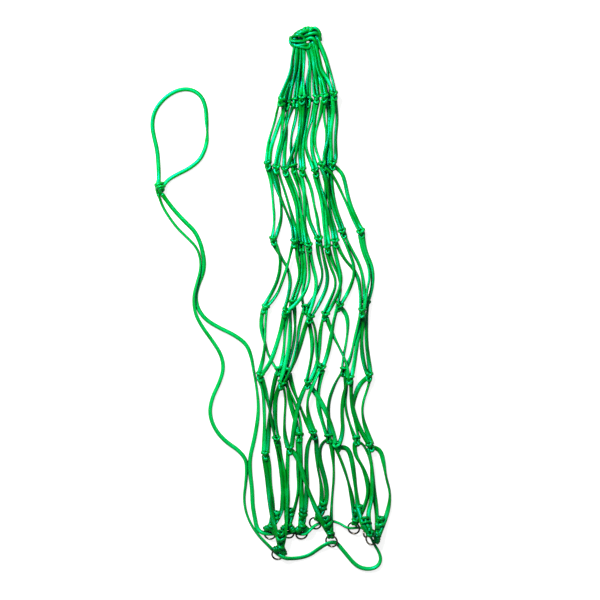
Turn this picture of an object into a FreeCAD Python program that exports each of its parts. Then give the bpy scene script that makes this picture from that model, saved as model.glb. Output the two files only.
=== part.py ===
"""Drawstring hay net, lying empty and gathered flat.

A knotted tube of round cord hangs from a cord-wrapped eye at its closed end.  Seven courses of legs
run between the eye, six rows of knots and nine steel rings at the mouth.  A drawstring runs through
the rings; both its tails are tied together in an overhand knot, past which the bight is a hanging loop.
Units are millimetres.  The origin is the middle of the eye on the floor, -Y points to the mouth, +Z up.
"""
import FreeCAD, Part

import math
import os

V = FreeCAD.Vector

# ---------------------------------------------------------------- driving dimensions
SIZES = (
    ("net_cord", 6.0, "diameter of the netting cord"),
    ("tight_cord", 5.0, "thickness of the netting cord where it is pulled tight round something"),
    ("string_cord", 6.0, "diameter of the drawstring"),
    ("ring_outer", 25.0, "outside diameter of a mouth ring"),
    ("ring_wire", 3.3, "wire diameter of a mouth ring"),
    ("eye_straight", 13.0, "straight side of the oval eye"),
    ("eye_bend", 14.5, "bend radius of the eye at its core"),
    ("eye_core", 5.0, "diameter of the cord ring inside the eye"),
    ("eye_turn", 27.0, "how far the eye's long axis is turned, degrees"),
    ("knot_width", 15.0, "width of a netting knot"),
    ("knot_length", 12.0, "length of a netting knot along the net"),
    ("hitch_sweep", 54.0, "how much of a ring its hitch covers, degrees"),
    ("tail_knot_width", 21.0, "width of the knot that joins the tails"),
    ("tail_knot_length", 20.0, "length of the knot that joins the tails"),
    ("run_fit", 0.3, "running clearance between soft pieces, and between a hitch and its ring"),
)

# ---------------------------------------------------------------- where things lie
# Seats of the first legs on the eye, left to right; each seat holds a low and a top leg.
EYE_SEATS = ((-19, -8), (-15, -14), (-10, -17), (-4, -17.5), (2, -15.5),
             (8, -12.5), (13, -9.5), (17, -4), (19.5, 3))

# A mouth ring that lies nearly flat: middle, azimuth of its hitch, azimuth where the string goes under it.
FLAT_RINGS = {
    "A": (-51, -952, 68, 138), "B": (-66, -914, 75, 3), "C": (-32, -912, 88, 9),
    "D": (-7, -914, 88, 170), "E": (18, -895, 65, 12), "G": (48, -928, 98, -22),
    "H": (89, -904, 78, -5), "I": (122, -923.5, 38, -65),
}
# The one ring that stands up: the ring beside it, where the string rests in it from that ring's middle
# and above the floor, the string's heading, and its lean.
STANDING_RING = {"J": ("I", -11.5, 15.3, 7.9, -18, -25)}

# Middles of the netting knots: x, y and the side of the net, 0 behind and 1 in front.
KNOTS = (
    # row 1
    {"a": (-43, -117, 1), "b": (-32, -124, 0), "c": (-20, -118, 0), "d": (-6, -113, 1), "e": (6, -117, 0),
     "f": (19, -111, 1), "g": (36, -111, 1), "h": (51, -107, 1), "i": (44, -118, 0)},
    # row 2
    {"a": (-69, -233, 1), "b": (-54, -240, 1), "c": (-37, -244, 1), "d": (-21, -240, 0), "e": (-6, -245, 1),
     "f": (19, -247, 1), "g": (32, -237, 1), "h": (50, -233, 1), "i": (38, -251, 0)},
    # row 3
    {"a": (-59, -372, 1), "b": (-18, -377, 1), "c": (3, -385, 1), "d": (25, -372, 1), "e": (40, -388, 1),
     "f": (55, -377, 1), "g": (69, -359, 1), "h": (103, -359, 1), "i": (-8, -385, 0)},
    # row 4
    {"a": (-75, -498, 1), "b": (-36, -505, 1), "c": (-26, -491, 0), "d": (1, -500, 0), "e": (7, -516, 1),
     "f": (36, -512, 1), "g": (61, -494, 1), "h": (110, -490, 0), "i": (105, -505, 1)},
    # row 5
    {"a": (-84, -623, 1), "b": (-48, -614, 0), "c": (-33, -616, 0), "d": (-45, -638, 1), "e": (6, -638, 1),
     "f": (29, -609, 1), "g": (73, -614, 0), "h": (80, -628, 1), "i": (117, -623, 1)},
    # row 6
    {"a": (-74, -768, 1), "b": (-53, -742, 1), "c": (-29, -758, 1), "d": (-11, -736, 0), "e": (15, -731, 1),
     "f": (44, -738, 0), "g": (58, -753, 1), "h": (95, -742, 0), "i": (119, -753, 1)},
)
# Legs: the seat or knot above, the knot or ring below, and the points between them.
LEGS = (
    # course 1
    (
        ("top0", "a", ((-19.5, -32), (-25, -60), (-37, -88))),
        ("low0", "a", ((-19.5, -32), (-25, -60), (-33, -89))),
        ("low1", "b", ((-14, -32), (-18.5, -60), (-28, -94))),
        ("top1", "b", ((-14, -32), (-18.5, -60), (-26, -94))),
        ("low2", "c", ((-8.5, -32), (-12, -60), (-17, -90))),
        ("top2", "c", ((-8.5, -32), (-12, -60), (-15, -91))),
        ("low3", "d", ((-3, -32), (-5, -60), (-7, -86))),
        ("top3", "d", ((-3, -32), (-5, -60), (-4, -86))),
        ("low4", "e", ((8, -32), (9, -60), (2, -89))),
        ("top4", "e", ((8, -32), (9, -60), (7, -89))),
        ("low5", "f", ((13.5, -32), (16, -60), (14, -85))),
        ("top5", "f", ((13.5, -32), (16, -60), (21, -84))),
        ("low6", "g", ((19, -32), (22.5, -60), (30, -84))),
        ("top6", "g", ((19, -32), (22.5, -60), (35, -83))),
        ("low7", "i", ((24.5, -32), (29, -60), (38, -88))),
        ("low8", "i", ((29, -32), (36, -60), (42, -87))),
        ("top7", "h", ((24.5, -32), (29, -60), (44, -80))),
        ("top8", "h", ((29, -32), (36, -60), (48, -79))),
    ),
    # course 2
    (
        ("a", "a", ((-52.5, -133), (-56.5, -152), (-63, -172), (-68.5, -192), (-69.5, -213))),
        ("b", "a", ((-41.5, -139), (-48, -155), (-55.5, -176), (-63, -196), (-66.5, -215))),
        ("a", "b", ((-40, -137), (-42.5, -159), (-44.5, -181), (-49, -204), (-52.5, -224))),
        ("b", "c", ((-35, -142), (-35, -165), (-37, -187), (-39, -209), (-39, -228))),
        ("c", "b", ((-30.5, -133), (-35, -154), (-39, -176), (-44.5, -200), (-50, -222))),
        ("c", "d", ((-16.5, -137), (-20.5, -157), (-26, -178), (-27, -200), (-24, -222))),
        ("e", "c", ((1, -137), (-6.5, -161), (-14, -185), (-22, -209), (-30.5, -229))),
        ("d", "d", ((-8.5, -137), (-10, -161), (-14, -185), (-18.5, -207), (-20.5, -226))),
        ("d", "e", ((-4.5, -135), (-5.5, -161), (-9, -187), (-9, -211), (-7.5, -229))),
        ("e", "e", ((4.5, -139), (0, -163), (-5.5, -187), (-7.5, -209), (-5.5, -229))),
        ("f", "f", ((15, -133), (10, -155), (2, -178), (0, -202), (7.5, -224))),
        ("f", "f", ((18.5, -135), (15.5, -161), (11, -185), (12, -209), (17.5, -229))),
        ("g", "g", ((30.5, -133), (24, -154), (17.5, -176), (17.5, -200), (25, -222))),
        ("g", "i", ((34, -131), (35, -152), (40.5, -172), (40.5, -200), (37, -229))),
        ("h", "h", ((51, -128), (49, -148), (46, -168), (45.5, -192), (48, -215))),
        ("i", "g", ((44.5, -139), (43.5, -161), (41.5, -183), (37, -205), (33.5, -222))),
        ("h", "h", ((57.5, -128), (58.5, -152), (55.5, -178), (55.5, -202), (56.5, -220))),
        ("i", "i", ((48, -139), (45.5, -163), (43.5, -187), (42.5, -209), (40, -231))),
    ),
    # course 3
    (
        ("a", "a", ((-65.5, -252), (-62, -276), (-60, -303), (-57.5, -329), (-59, -353))),
        ("b", "a", ((-52.5, -261), (-48, -283), (-45, -307), (-44.5, -331), (-50, -353))),
        ("a", "b", ((-61, -253), (-52.5, -279), (-41.5, -305), (-30.5, -331), (-22, -355))),
        ("b", "b", ((-47, -257), (-38, -283), (-30.5, -309), (-23, -335), (-18.5, -357))),
        ("c", "i", ((-32.5, -263), (-23, -287), (-15.5, -311), (-14, -337), (-10, -364))),
        ("c", "c", ((-28, -261), (-17.5, -283), (-10, -309), (-6.5, -335), (-1, -363))),
        ("d", "d", ((-14, -257), (-3.5, -281), (2, -307), (5.5, -333), (15, -355))),
        ("d", "i", ((-17.5, -261), (-10, -285), (-8.5, -311), (-8.5, -337), (-9, -364))),
        ("e", "d", ((4.5, -261), (12, -283), (15.5, -307), (21.5, -329), (24, -352))),
        ("e", "c", ((-4.5, -266), (-1, -292), (-1, -318), (-2, -344), (2, -366))),
        ("f", "e", ((20.5, -268), (28, -292), (32.5, -318), (34, -344), (38, -368))),
        ("i", "e", ((37, -272), (37, -296), (38, -320), (39, -344), (41.5, -368))),
        ("f", "f", ((25, -268), (33.5, -292), (40.5, -318), (46, -340), (52, -359))),
        ("g", "f", ((38, -259), (41.5, -283), (44.5, -309), (48, -333), (54.5, -357))),
        ("i", "g", ((42.5, -274), (47, -296), (52.5, -318), (60, -340))),
        ("h", "g", ((47, -253), (49, -274), (53.5, -298), (59, -320), (66.5, -340))),
        ("g", "h", ((42.5, -247), (54.5, -261), (65, -281), (75, -302), (84, -318), (91.5, -339))),
        ("h", "h", ((59, -240), (68.5, -250), (74, -270), (77.5, -290), (83, -311), (92.5, -331),
            (100, -346))),
    ),
    # course 4
    (
        ("a", "b", ((-49, -398), (-27, -435), (-28, -478))),
        ("a", "a", ((-46, -395), (-47, -435), (-63, -473))),
        ("b", "a", ((-28, -403), (-40, -442), (-55, -480))),
        ("b", "c", ((-14, -401), (-9, -435), (-20, -468))),
        ("i", "c", ((-6, -407), (-5, -440), (-15, -472))),
        ("i", "d", ((-2, -408), (-1, -443), (-8, -478))),
        ("c", "b", ((6, -412), (8, -453), (-14, -489))),
        ("c", "e", ((10, -411), (22, -450), (13, -490))),
        ("d", "d", ((23, -399), (34, -439), (17, -477))),
        ("d", "e", ((34, -402), (44, -448), (26, -490))),
        ("e", "g", ((48, -409), (62, -439), (66, -472))),
        ("e", "f", ((43, -415), (59, -451), (44, -487))),
        ("f", "f", ((57, -407), (69, -449), (54, -490))),
        ("f", "i", ((67, -403), (97, -434), (104, -476))),
        ("g", "g", ((79, -387), (93, -429), (79, -470))),
        ("g", "h", ((81, -385), (102, -421), (109, -462))),
        ("h", "i", ((104, -389), (121, -431), (112, -475))),
        ("h", "h", ((108, -386), (125, -425), (123, -465))),
    ),
    # course 5
    (
        ("a", "b", ((-84, -522), (-76, -560), (-64, -597))),
        ("a", "a", ((-74, -523), (-75, -561), (-79, -599))),
        ("b", "a", ((-43, -530), (-54, -568), (-67, -604))),
        ("b", "b", ((-37, -527), (-39, -560), (-42, -593))),
        ("c", "d", ((-28, -521), (-29, -565), (-40, -609))),
        ("c", "c", ((-19, -516), (-20, -554), (-28, -591))),
        ("d", "d", ((-11, -525), (-16, -570), (-27, -614))),
        ("e", "c", ((-2, -536), (-10, -568), (-20, -599))),
        ("d", "e", ((8, -527), (14, -569), (8, -610))),
        ("e", "f", ((18, -533), (20, -562), (21, -591))),
        ("f", "e", ((27, -537), (25, -576), (18, -615))),
        ("f", "h", ((45, -536), (61, -569), (75, -604))),
        ("g", "f", ((53, -516), (47, -552), (40, -587))),
        ("g", "g", ((70.5, -502), (77, -514), (78.5, -536), (75, -562), (70, -589))),
        ("i", "g", ((98, -527), (90, -560), (83, -594))),
        ("h", "h", ((102, -517), (95, -559), (90, -602))),
        ("i", "i", ((106, -529), (103, -566), (107, -601))),
        ("h", "i", ((113, -517), (112, -557), (117, -597))),
    ),
    # course 6
    (
        ("a", "a", ((-78, -652), (-76, -695), (-76, -739))),
        ("a", "b", ((-75, -646), (-67, -682), (-60, -718))),
        ("b", "a", ((-60, -643), (-66, -690), (-69, -737))),
        ("d", "b", ((-55, -657), (-57, -689), (-54, -721))),
        ("d", "c", ((-36, -661), (-39, -698), (-39, -736))),
        ("e", "c", ((-8, -659), (-18, -696), (-23, -734))),
        ("c", "e", ((-26, -640), (-12, -675), (2, -710))),
        ("c", "d", ((-33, -641), (-27, -677), (-16, -712))),
        ("b", "d", ((-37, -638), (-20, -673), (-8, -710))),
        ("f", "e", ((14, -631), (0, -667), (6, -706))),
        ("e", "g", ((22, -658), (39, -692), (51, -728))),
        ("f", "f", ((25, -635), (22, -675), (33, -714))),
        ("g", "f", ((61, -626), (51, -645), (42, -673), (43, -711))),
        ("h", "g", ((71, -653), (67, -691), (70, -730))),
        ("g", "h", ((75, -641), (72, -680), (83, -718))),
        ("h", "i", ((83, -655), (88, -694), (105, -731))),
        ("i", "h", ((105, -633), (96, -647), (90, -666), (88, -690), (94, -718))),
        ("i", "i", ((115, -646), (107, -668), (104, -691), (111, -722))),
    ),
    # course 7
    (
        ("a", "A", ((-73, -795), (-68, -835), (-64, -876), (-55, -913))),
        ("a", "B", ((-67, -788), (-65, -819), (-62, -851), (-60, -881))),
        ("b", "B", ((-49, -768), (-43, -806), (-41, -846), (-45, -883))),
        ("b", "C", ((-47, -766), (-39, -802), (-36, -839), (-36, -874))),
        ("c", "A", ((-34, -787), (-32, -828), (-32, -872), (-36, -912))),
        ("c", "G", ((-19, -766), (-9, -788), (-1, -816), (9, -844), (19.5, -870), (29.5, -892))),
        ("d", "C", ((-14, -762), (-13, -800), (-13, -840), (-22, -875))),
        ("d", "D", ((-8, -762), (-7, -800), (-7, -839), (-8, -876))),
        ("e", "D", ((8.5, -740), (3, -757), (1, -784), (3, -821), (1, -858))),
        ("e", "E", ((20.5, -744), (20, -766), (22, -792), (28.5, -820), (30.5, -845), (28, -868))),
        ("f", "E", ((33, -745), (27, -757), (26, -774), (29.5, -792), (37, -818), (40, -844), (36, -868))),
        ("f", "G", ((51, -766), (53, -806), (49, -849), (47, -887))),
        ("g", "H", ((64, -775), (75, -805), (84, -838), (89, -869))),
        ("g", "J", ((70.5, -754.5), (80, -760), (86, -780), (90, -808), (94, -841), (98, -872),
            (104, -896))),
        ("h", "H", ((88, -764), (109, -796), (118, -835), (108, -870))),
        ("h", "I", ((106, -748), (114, -759), (121, -779), (125, -812), (127.5, -847), (132.5, -879))),
        ("i", "J", ((122, -779), (123, -816), (122, -852), (113, -882))),
        ("i", "I", ((130, -756), (139.5, -763), (144.5, -784), (149, -812), (156.5, -838), (154.5, -862),
            (145, -888))),
    ),
)
# The drawstring, from the tail knot down to the mouth, round it and back: x, y and the height
# it was laid at.  Each of the four stretches is a node of its own.
STRING = {
    "string_left_tail": (
        (-256, -300, 3), (-240, -320, 3), (-221, -340, 3), (-205, -355, 3), (-195, -376, 3),
        (-191, -394, 3), (-189, -413, 3), (-191, -433, 3), (-200, -455, 3), (-205, -477, 3),
        (-201, -498, 3), (-186, -518, 3), (-162, -533, 3), (-132, -547, 3), (-109, -564, 3),
        (-100, -587, 3), (-95, -615, 3), (-90, -645, 3), (-87, -674, 3), (-88, -703, 3),
        (-95, -742, 3), (-104, -773, 3), (-105, -801, 3), (-99, -834, 3), (-98, -862, 3),
        (-94, -886, 3)),
    "string_back": (
        (-91, -907, 6), (-78, -914, 10), (-57, -916, 3.4), (-43, -916, 10), (-25, -914, 3.4),
        (-12, -916, 3.4), (0, -914, 8.5), (8, -906.5, 10), (17, -899, 6), (27, -893.5, 3.4),
        (39, -891, 3.4), (52, -891.5, 3.4), (65, -896, 5), (78, -903, 10), (95, -903.5, 4.5),
        (107.5, -905.5, 8.5), (117.5, -912, 10), (123.5, -922.5, 6)),
    "string_front": (
        (127, -934, 3.4), (132.5, -943, 3.4), (137.5, -953, 3.4), (139, -964, 3.4), (134.5, -973.5, 3.4),
        (125, -979, 3.4), (112, -980, 3.4), (99, -976.5, 3.4), (88, -968, 3.4), (78, -956, 3.4),
        (68, -944.5, 3.4), (57, -934, 3.4), (46, -931, 7.5), (34, -935, 8.5), (22, -944, 3.4),
        (8, -954, 3.4), (-8, -959, 3.4), (-23, -960.5, 3.4), (-38, -959, 9.5)),
    "string_right_tail": (
        (-57, -948, 3.4), (-70, -935, 3.4), (-85, -919, 3), (-99, -899, 3), (-110, -876, 3), (-114, -850, 3),
        (-110, -823, 3), (-106, -797, 3), (-109, -777, 3), (-124, -760, 3), (-147, -745, 3),
        (-167, -723, 3), (-178, -694, 3), (-173, -664, 3), (-159, -636, 3), (-151, -609, 3),
        (-156, -583, 3), (-173, -557, 3), (-193, -531, 9), (-208, -505, 9), (-211, -477, 9),
        (-202, -451, 9), (-197, -429, 9), (-197, -407, 9), (-204, -386, 6), (-218, -368, 3),
        (-237, -350, 3), (-254, -327, 3), (-266, -304, 3)),
}
# The hanging loop, out of the tail knot and back into it.
HANG_LOOP = (
    (-258, -263, 6), (-238, -251, 3), (-215, -240, 3), (-195, -224, 3), (-184, -201, 3),
    (-181, -176, 3), (-183, -152, 3), (-184, -128, 3), (-192, -106, 3), (-209, -94, 3),
    (-229, -93, 3), (-249, -101, 3), (-267, -116, 3), (-280, -136, 3), (-284, -159, 3),
    (-280, -182, 3), (-274, -206, 3), (-272, -232, 3), (-271, -256, 6))
TAIL_KNOT = (-268, -282)

# ---------------------------------------------------------------- laying the net down
# Every cord is a chain of route points.  The pile is settled: crossing cords are pushed a diameter
# apart, gravity draws them to the floor, and each point is drawn back to where it was laid.
ROUNDS = 240            # passes of the settling
GRAVITY = 0.5           # how far a free point sinks in a pass
HOLD = 0.10             # how strongly a point is drawn back to its laid place
FAIR = 0.10             # how strongly a cord is evened out towards the bends it was laid with
REACH = 5.0             # how near two pieces are before they are tested against each other
BACK, FRONT = 9.0, 30.0  # heights that the two sides of the net are dropped from
CUT = 0.45              # an arc takes this share of the shorter of its two runs
FLOOR_FIT = 0.50        # how far a cord stays off the floor, so that its arcs clear it too
SWAP = 0.37             # step in the height that neighbouring legs are dropped from
SEAT_SPAN = 3           # pieces of a cord nearest its seat, which may touch what it is seated in

points = []             # [x, y, z] of each route point
laid = []               # where it was laid, or None where it is held by something else
ease = []               # how easily it moves: 0 is fixed
places = []             # a place on a piece: weights of the route points, offset, radius
pieces = []             # a stretch between two places: both, its cord, its number, its seats
WORLD = 0


def new_point(x, y, z, freedom=1.0, held=True):
    points.append([float(x), float(y), float(z)])
    laid.append((x, y) if held else None)
    ease.append(freedom)
    return len(points) - 1


def new_place(parts, radius):
    """A place worked out from route points: parts are (share, (point, offset))."""
    weights, offset = {}, [0.0, 0.0, 0.0]
    for share, (point, shift) in parts:
        weights[point] = weights.get(point, 0.0) + share
        offset = [o + share * s for o, s in zip(offset, shift)]
    places.append((tuple(weights.items()), tuple(offset), radius))
    return len(places) - 1


def new_cord(route, radius, cord, first_seat, last_seat):
    """Places along the smooth line that the route's corners draw, and the pieces between them."""
    plan = [[points[point][k] + shift[k] for k in (0, 1)] for point, shift in route]
    runs = [math.dist(a, b) for a, b in zip(plan, plan[1:])]
    ends = [new_place(((1.0, route[0]),), radius)]
    for i in range(1, len(route)):
        ends.append(new_place(((0.5, route[i - 1]), (0.5, route[i])), radius))
        if i < len(route) - 1:
            pull = CUT / 4 * min(runs[i - 1], runs[i])
            back, on = pull / runs[i - 1], pull / runs[i]
            shares = ((back, route[i - 1]), (1.0 - back - on, route[i]), (on, route[i + 1]))
            ends.append(new_place(shares, radius))
    ends.append(new_place(((1.0, route[-1]),), radius))
    last = len(ends) - 1
    for i in range(last):
        seats = {first_seat} if i < SEAT_SPAN else set()
        if i >= last - SEAT_SPAN:
            seats.add(last_seat)
        pieces.append((ends[i], ends[i + 1], cord, i, seats))


def new_bead(point, shift, half, radius, seat):
    """A knot or a hitch: a bead with round ends, which reaches half either side of its middle."""
    ends = [new_place(((1.0, (point, tuple(s + sign * h for s, h in zip(shift, half)))),), radius)
            for sign in (-1, 1)]
    pieces.append((ends[0], ends[1], ("bead", seat), 0, {seat}))


def new_loop(corners, radius, seat):
    """A closed rigid ring of straight pieces."""
    ends = [new_place(((1.0, (WORLD, corner)),), radius) for corner in corners]
    for i in range(len(ends)):
        pieces.append((ends[i - 1], ends[i], ("loop", seat), 0, {seat}))


def where(place):
    weights, (x, y, z), _ = places[place]
    for point, share in weights:
        px, py, pz = points[point]
        x += share * px
        y += share * py
        z += share * pz
    return [x, y, z]


def nearest(a, b, c, d):
    """How far along a-b and c-d the two lie nearest, and the step from the second to the first."""
    ux, uy, uz = b[0] - a[0], b[1] - a[1], b[2] - a[2]
    vx, vy, vz = d[0] - c[0], d[1] - c[1], d[2] - c[2]
    wx, wy, wz = a[0] - c[0], a[1] - c[1], a[2] - c[2]
    uu, vv = ux * ux + uy * uy + uz * uz, vx * vx + vy * vy + vz * vz
    vw, uw = vx * wx + vy * wy + vz * wz, ux * wx + uy * wy + uz * wz
    if uu < 1e-9 and vv < 1e-9:
        s = t = 0.0
    elif uu < 1e-9:
        s, t = 0.0, min(1.0, max(0.0, vw / vv))
    elif vv < 1e-9:
        s, t = min(1.0, max(0.0, -uw / uu)), 0.0
    else:
        uv = ux * vx + uy * vy + uz * vz
        spread = uu * vv - uv * uv
        s = min(1.0, max(0.0, (uv * vw - uw * vv) / spread)) if spread > 1e-9 else 0.5
        t = (uv * s + vw) / vv
        if t < 0.0:
            s, t = min(1.0, max(0.0, -uw / uu)), 0.0
        elif t > 1.0:
            s, t = min(1.0, max(0.0, (uv - uw) / uu)), 1.0
    return s, t, wx + s * ux - t * vx, wy + s * uy - t * vy, wz + s * uz - t * vz


def may_touch(one, other):
    """True for neighbours along a cord, one rigid ring, and a cord's end and what it is seated in."""
    if one[2] == other[2]:
        return one[2][0] == "loop" or abs(one[3] - other[3]) <= SEAT_SPAN
    shared = one[4] & other[4]
    if not shared:
        return False
    rigid = {"bead", "loop"}
    if one[2][0] in rigid or other[2][0] in rigid:
        return True
    return shared == {"tail knot"} and (one[3] == 0 or other[3] == 0)


def near_pairs(spots, cell=24.0):
    """Pairs of pieces that lie near each other, found on a grid over the floor."""
    boxes, grid = [], {}
    for i, (a, b, _, _, _) in enumerate(pieces):
        pad = places[a][2] + REACH / 2
        box = [f(spots[a][k], spots[b][k]) + sign * pad for k in range(3) for f, sign in ((min, -1), (max, 1))]
        boxes.append(box)
        for gx in range(int(box[0] // cell), int(box[1] // cell) + 1):
            for gy in range(int(box[2] // cell), int(box[3] // cell) + 1):
                grid.setdefault((gx, gy), []).append(i)
    pairs = set()
    for members in grid.values():
        for n, i in enumerate(members):
            p = boxes[i]
            for j in members[n + 1:]:
                q = boxes[j]
                if (p[1] < q[0] or q[1] < p[0] or p[3] < q[2] or q[3] < p[2] or p[5] < q[4] or q[5] < p[4]
                        or may_touch(pieces[i], pieces[j])):
                    continue
                pairs.add((i, j))
    return sorted(pairs)


def push_apart(spots, i, j, gap):
    """Moves the route points of two pieces until they are clear of each other."""
    a, b, c, d = pieces[i][0], pieces[i][1], pieces[j][0], pieces[j][1]
    clear = places[a][2] + places[c][2] + gap
    s, t, nx, ny, nz = nearest(spots[a], spots[b], spots[c], spots[d])
    apart = math.sqrt(nx * nx + ny * ny + nz * nz)
    if apart >= clear or apart < 1e-6:
        return
    share = {}
    for place, part in ((a, 1.0 - s), (b, s), (c, t - 1.0), (d, -t)):
        for point, weight in places[place][0]:
            share[point] = share.get(point, 0.0) + part * weight
    give = sum(part * part * ease[point] for point, part in share.items())
    if give < 1e-9:
        return
    step = 0.9 * (clear - apart) / give / apart
    for point, part in share.items():
        move = min(2.0 / apart, max(-2.0 / apart, step * part * ease[point]))
        points[point][0] += move * nx
        points[point][1] += move * ny
        points[point][2] += move * nz
    for place in (a, b, c, d):
        spots[place] = where(place)


def laid_bends(route):
    """How far each point was laid off the middle of its neighbours, in plan."""
    spots = [[points[point][k] + shift[k] for k in (0, 1)] for point, shift in route]
    return [[b[k] - (a[k] + c[k]) / 2 for k in (0, 1)] + [0.0] for a, b, c in zip(spots, spots[1:], spots[2:])]


def settle(routes, gap):
    for turn in range(ROUNDS):
        spots = [where(place) for place in range(len(places))]
        if turn % 6 == 0:
            pairs = near_pairs(spots)
        fade = max(0.0, 1.0 - turn / (0.72 * ROUNDS))
        for i, j in pairs:
            push_apart(spots, i, j, gap)
        for route, bends in routes:
            for (before, up), (here, _), (after, down), bend in zip(route, route[1:], route[2:], bends):
                for k in range(3):
                    middle = (points[before][k] + up[k] + points[after][k] + down[k]) / 2
                    points[here][k] += FAIR * fade * (middle + bend[k] - points[here][k])
        for point, home in enumerate(laid):
            if ease[point] == 0.0:
                continue
            if home:
                points[point][0] += HOLD * fade * (home[0] - points[point][0])
                points[point][1] += HOLD * fade * (home[1] - points[point][1])
            points[point][2] -= GRAVITY * fade
        for place, (weights, _, radius) in enumerate(places):
            low = radius + FLOOR_FIT - where(place)[2]
            give = sum(share * share * ease[point] for point, share in weights)
            if low > 0.0 and give > 1e-9:
                for point, share in weights:
                    points[point][2] += low * share * ease[point] / give


# ---------------------------------------------------------------- the document and its sheet
doc = FreeCAD.newDocument("hay_net")
sheet = doc.addObject("Spreadsheet::Sheet", "sizes")
size = {}
for row, (alias, value, meaning) in enumerate(SIZES, 1):
    sheet.set("A%d" % row, str(value))
    sheet.setAlias("A%d" % row, alias)
    sheet.set("B%d" % row, meaning)
    size[alias] = value
doc.recompute()

CORD_R = size["net_cord"] / 2
STRING_R = size["string_cord"] / 2
WIRE_R = size["ring_wire"] / 2
RING_R = size["ring_outer"] / 2 - WIRE_R
FIT = size["run_fit"]
SLEEVE_BORE = WIRE_R + FIT
SLEEVE_R = SLEEVE_BORE + size["tight_cord"]
EYE_SECTION_R = size["eye_core"] / 2 + size["tight_cord"]
KNOT_R = size["knot_width"] / 2
STRAND_OFF = CORD_R + FIT - 0.05          # half the step between two legs that enter a knot
STRAND_IN = 3.0                           # how far from a knot's middle its legs end
KNOT_CORE = (0.0, 2.5, 0.0)               # half the core of the bead that stands for a knot
SLEEVE_CORE = 3.3                         # the same for a hitch, along its ring
SLEEVE_SEAT = 0.66                        # how deep a leg ends in its hitch, as a share of its radius
LOW_SEAT, TOP_SEAT = 0.52, 1.44           # heights of the first legs on the eye, by its section radius
TAIL_OFF = STRING_R + FIT                 # the same half step at the tail knot
NONE = (0.0, 0.0, 0.0)


def heading(degrees, up=0.0):
    angle = math.radians(degrees)
    return V(math.cos(angle), math.sin(angle), up)


def ring_frames():
    """Middle, normal and hitch direction of each mouth ring."""
    frames = {}
    low = WIRE_R + FIT                                   # wire height where the ring touches down
    under = size["string_cord"] + WIRE_R + 6 * FIT       # and where the string passes below it
    for name, (x, y, hitch, below) in FLAT_RINGS.items():
        half = ((hitch - below + 180.0) % 360.0 - 180.0) / 2
        spread = math.cos(math.radians(half))
        lift = (low * spread + under) / (1.0 + spread)
        slope = (lift - low) / RING_R
        uphill = heading(below + half) * slope
        normal = V(-uphill.x, -uphill.y, 1.0).normalize()
        level = heading(hitch)
        to_hitch = V(level.x, level.y, level.x * uphill.x + level.y * uphill.y).normalize()
        frames[name] = (V(x, y, lift), normal, to_hitch)
    for name, (beside, x, y, z, along, lean) in STANDING_RING.items():
        tilt = math.radians(lean)
        to_hitch = heading(along + 180.0) * math.sin(tilt) + V(0, 0, math.cos(tilt))
        normal = heading(along) * math.cos(tilt) + V(0, 0, math.sin(tilt))
        rest = RING_R - WIRE_R - STRING_R - FIT
        foot = V(FLAT_RINGS[beside][0] + x, FLAT_RINGS[beside][1] + y, z)
        frames[name] = (foot + to_hitch * rest, normal, to_hitch)
    return frames


def eye_corners(per_bend=6):
    """The eye's core line as a closed row of points."""
    half, bend = size["eye_straight"] / 2, size["eye_bend"]
    turn = FreeCAD.Rotation(V(0, 0, 1), size["eye_turn"])
    corners = []
    for side in (1, -1):
        for i in range(per_bend + 1):
            angle = math.radians(-90.0 + 180.0 * i / per_bend)
            spot = V(half + bend * math.cos(angle), bend * math.sin(angle), 0) * side
            corners.append(turn.multVec(spot) + V(0, 0, EYE_SECTION_R))
    return corners


def left_and_right(course, end):
    """Which of the two legs at each knot lies left (-1) and which right (+1)."""
    met = {}
    for number, leg in enumerate(course):
        near = leg[2][0] if end == 0 else leg[2][-1]
        met.setdefault(leg[end], []).append((near[0], number))
    return {number: side for legs in met.values() for side, (_, number) in zip((-1, 1), sorted(legs))}


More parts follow.
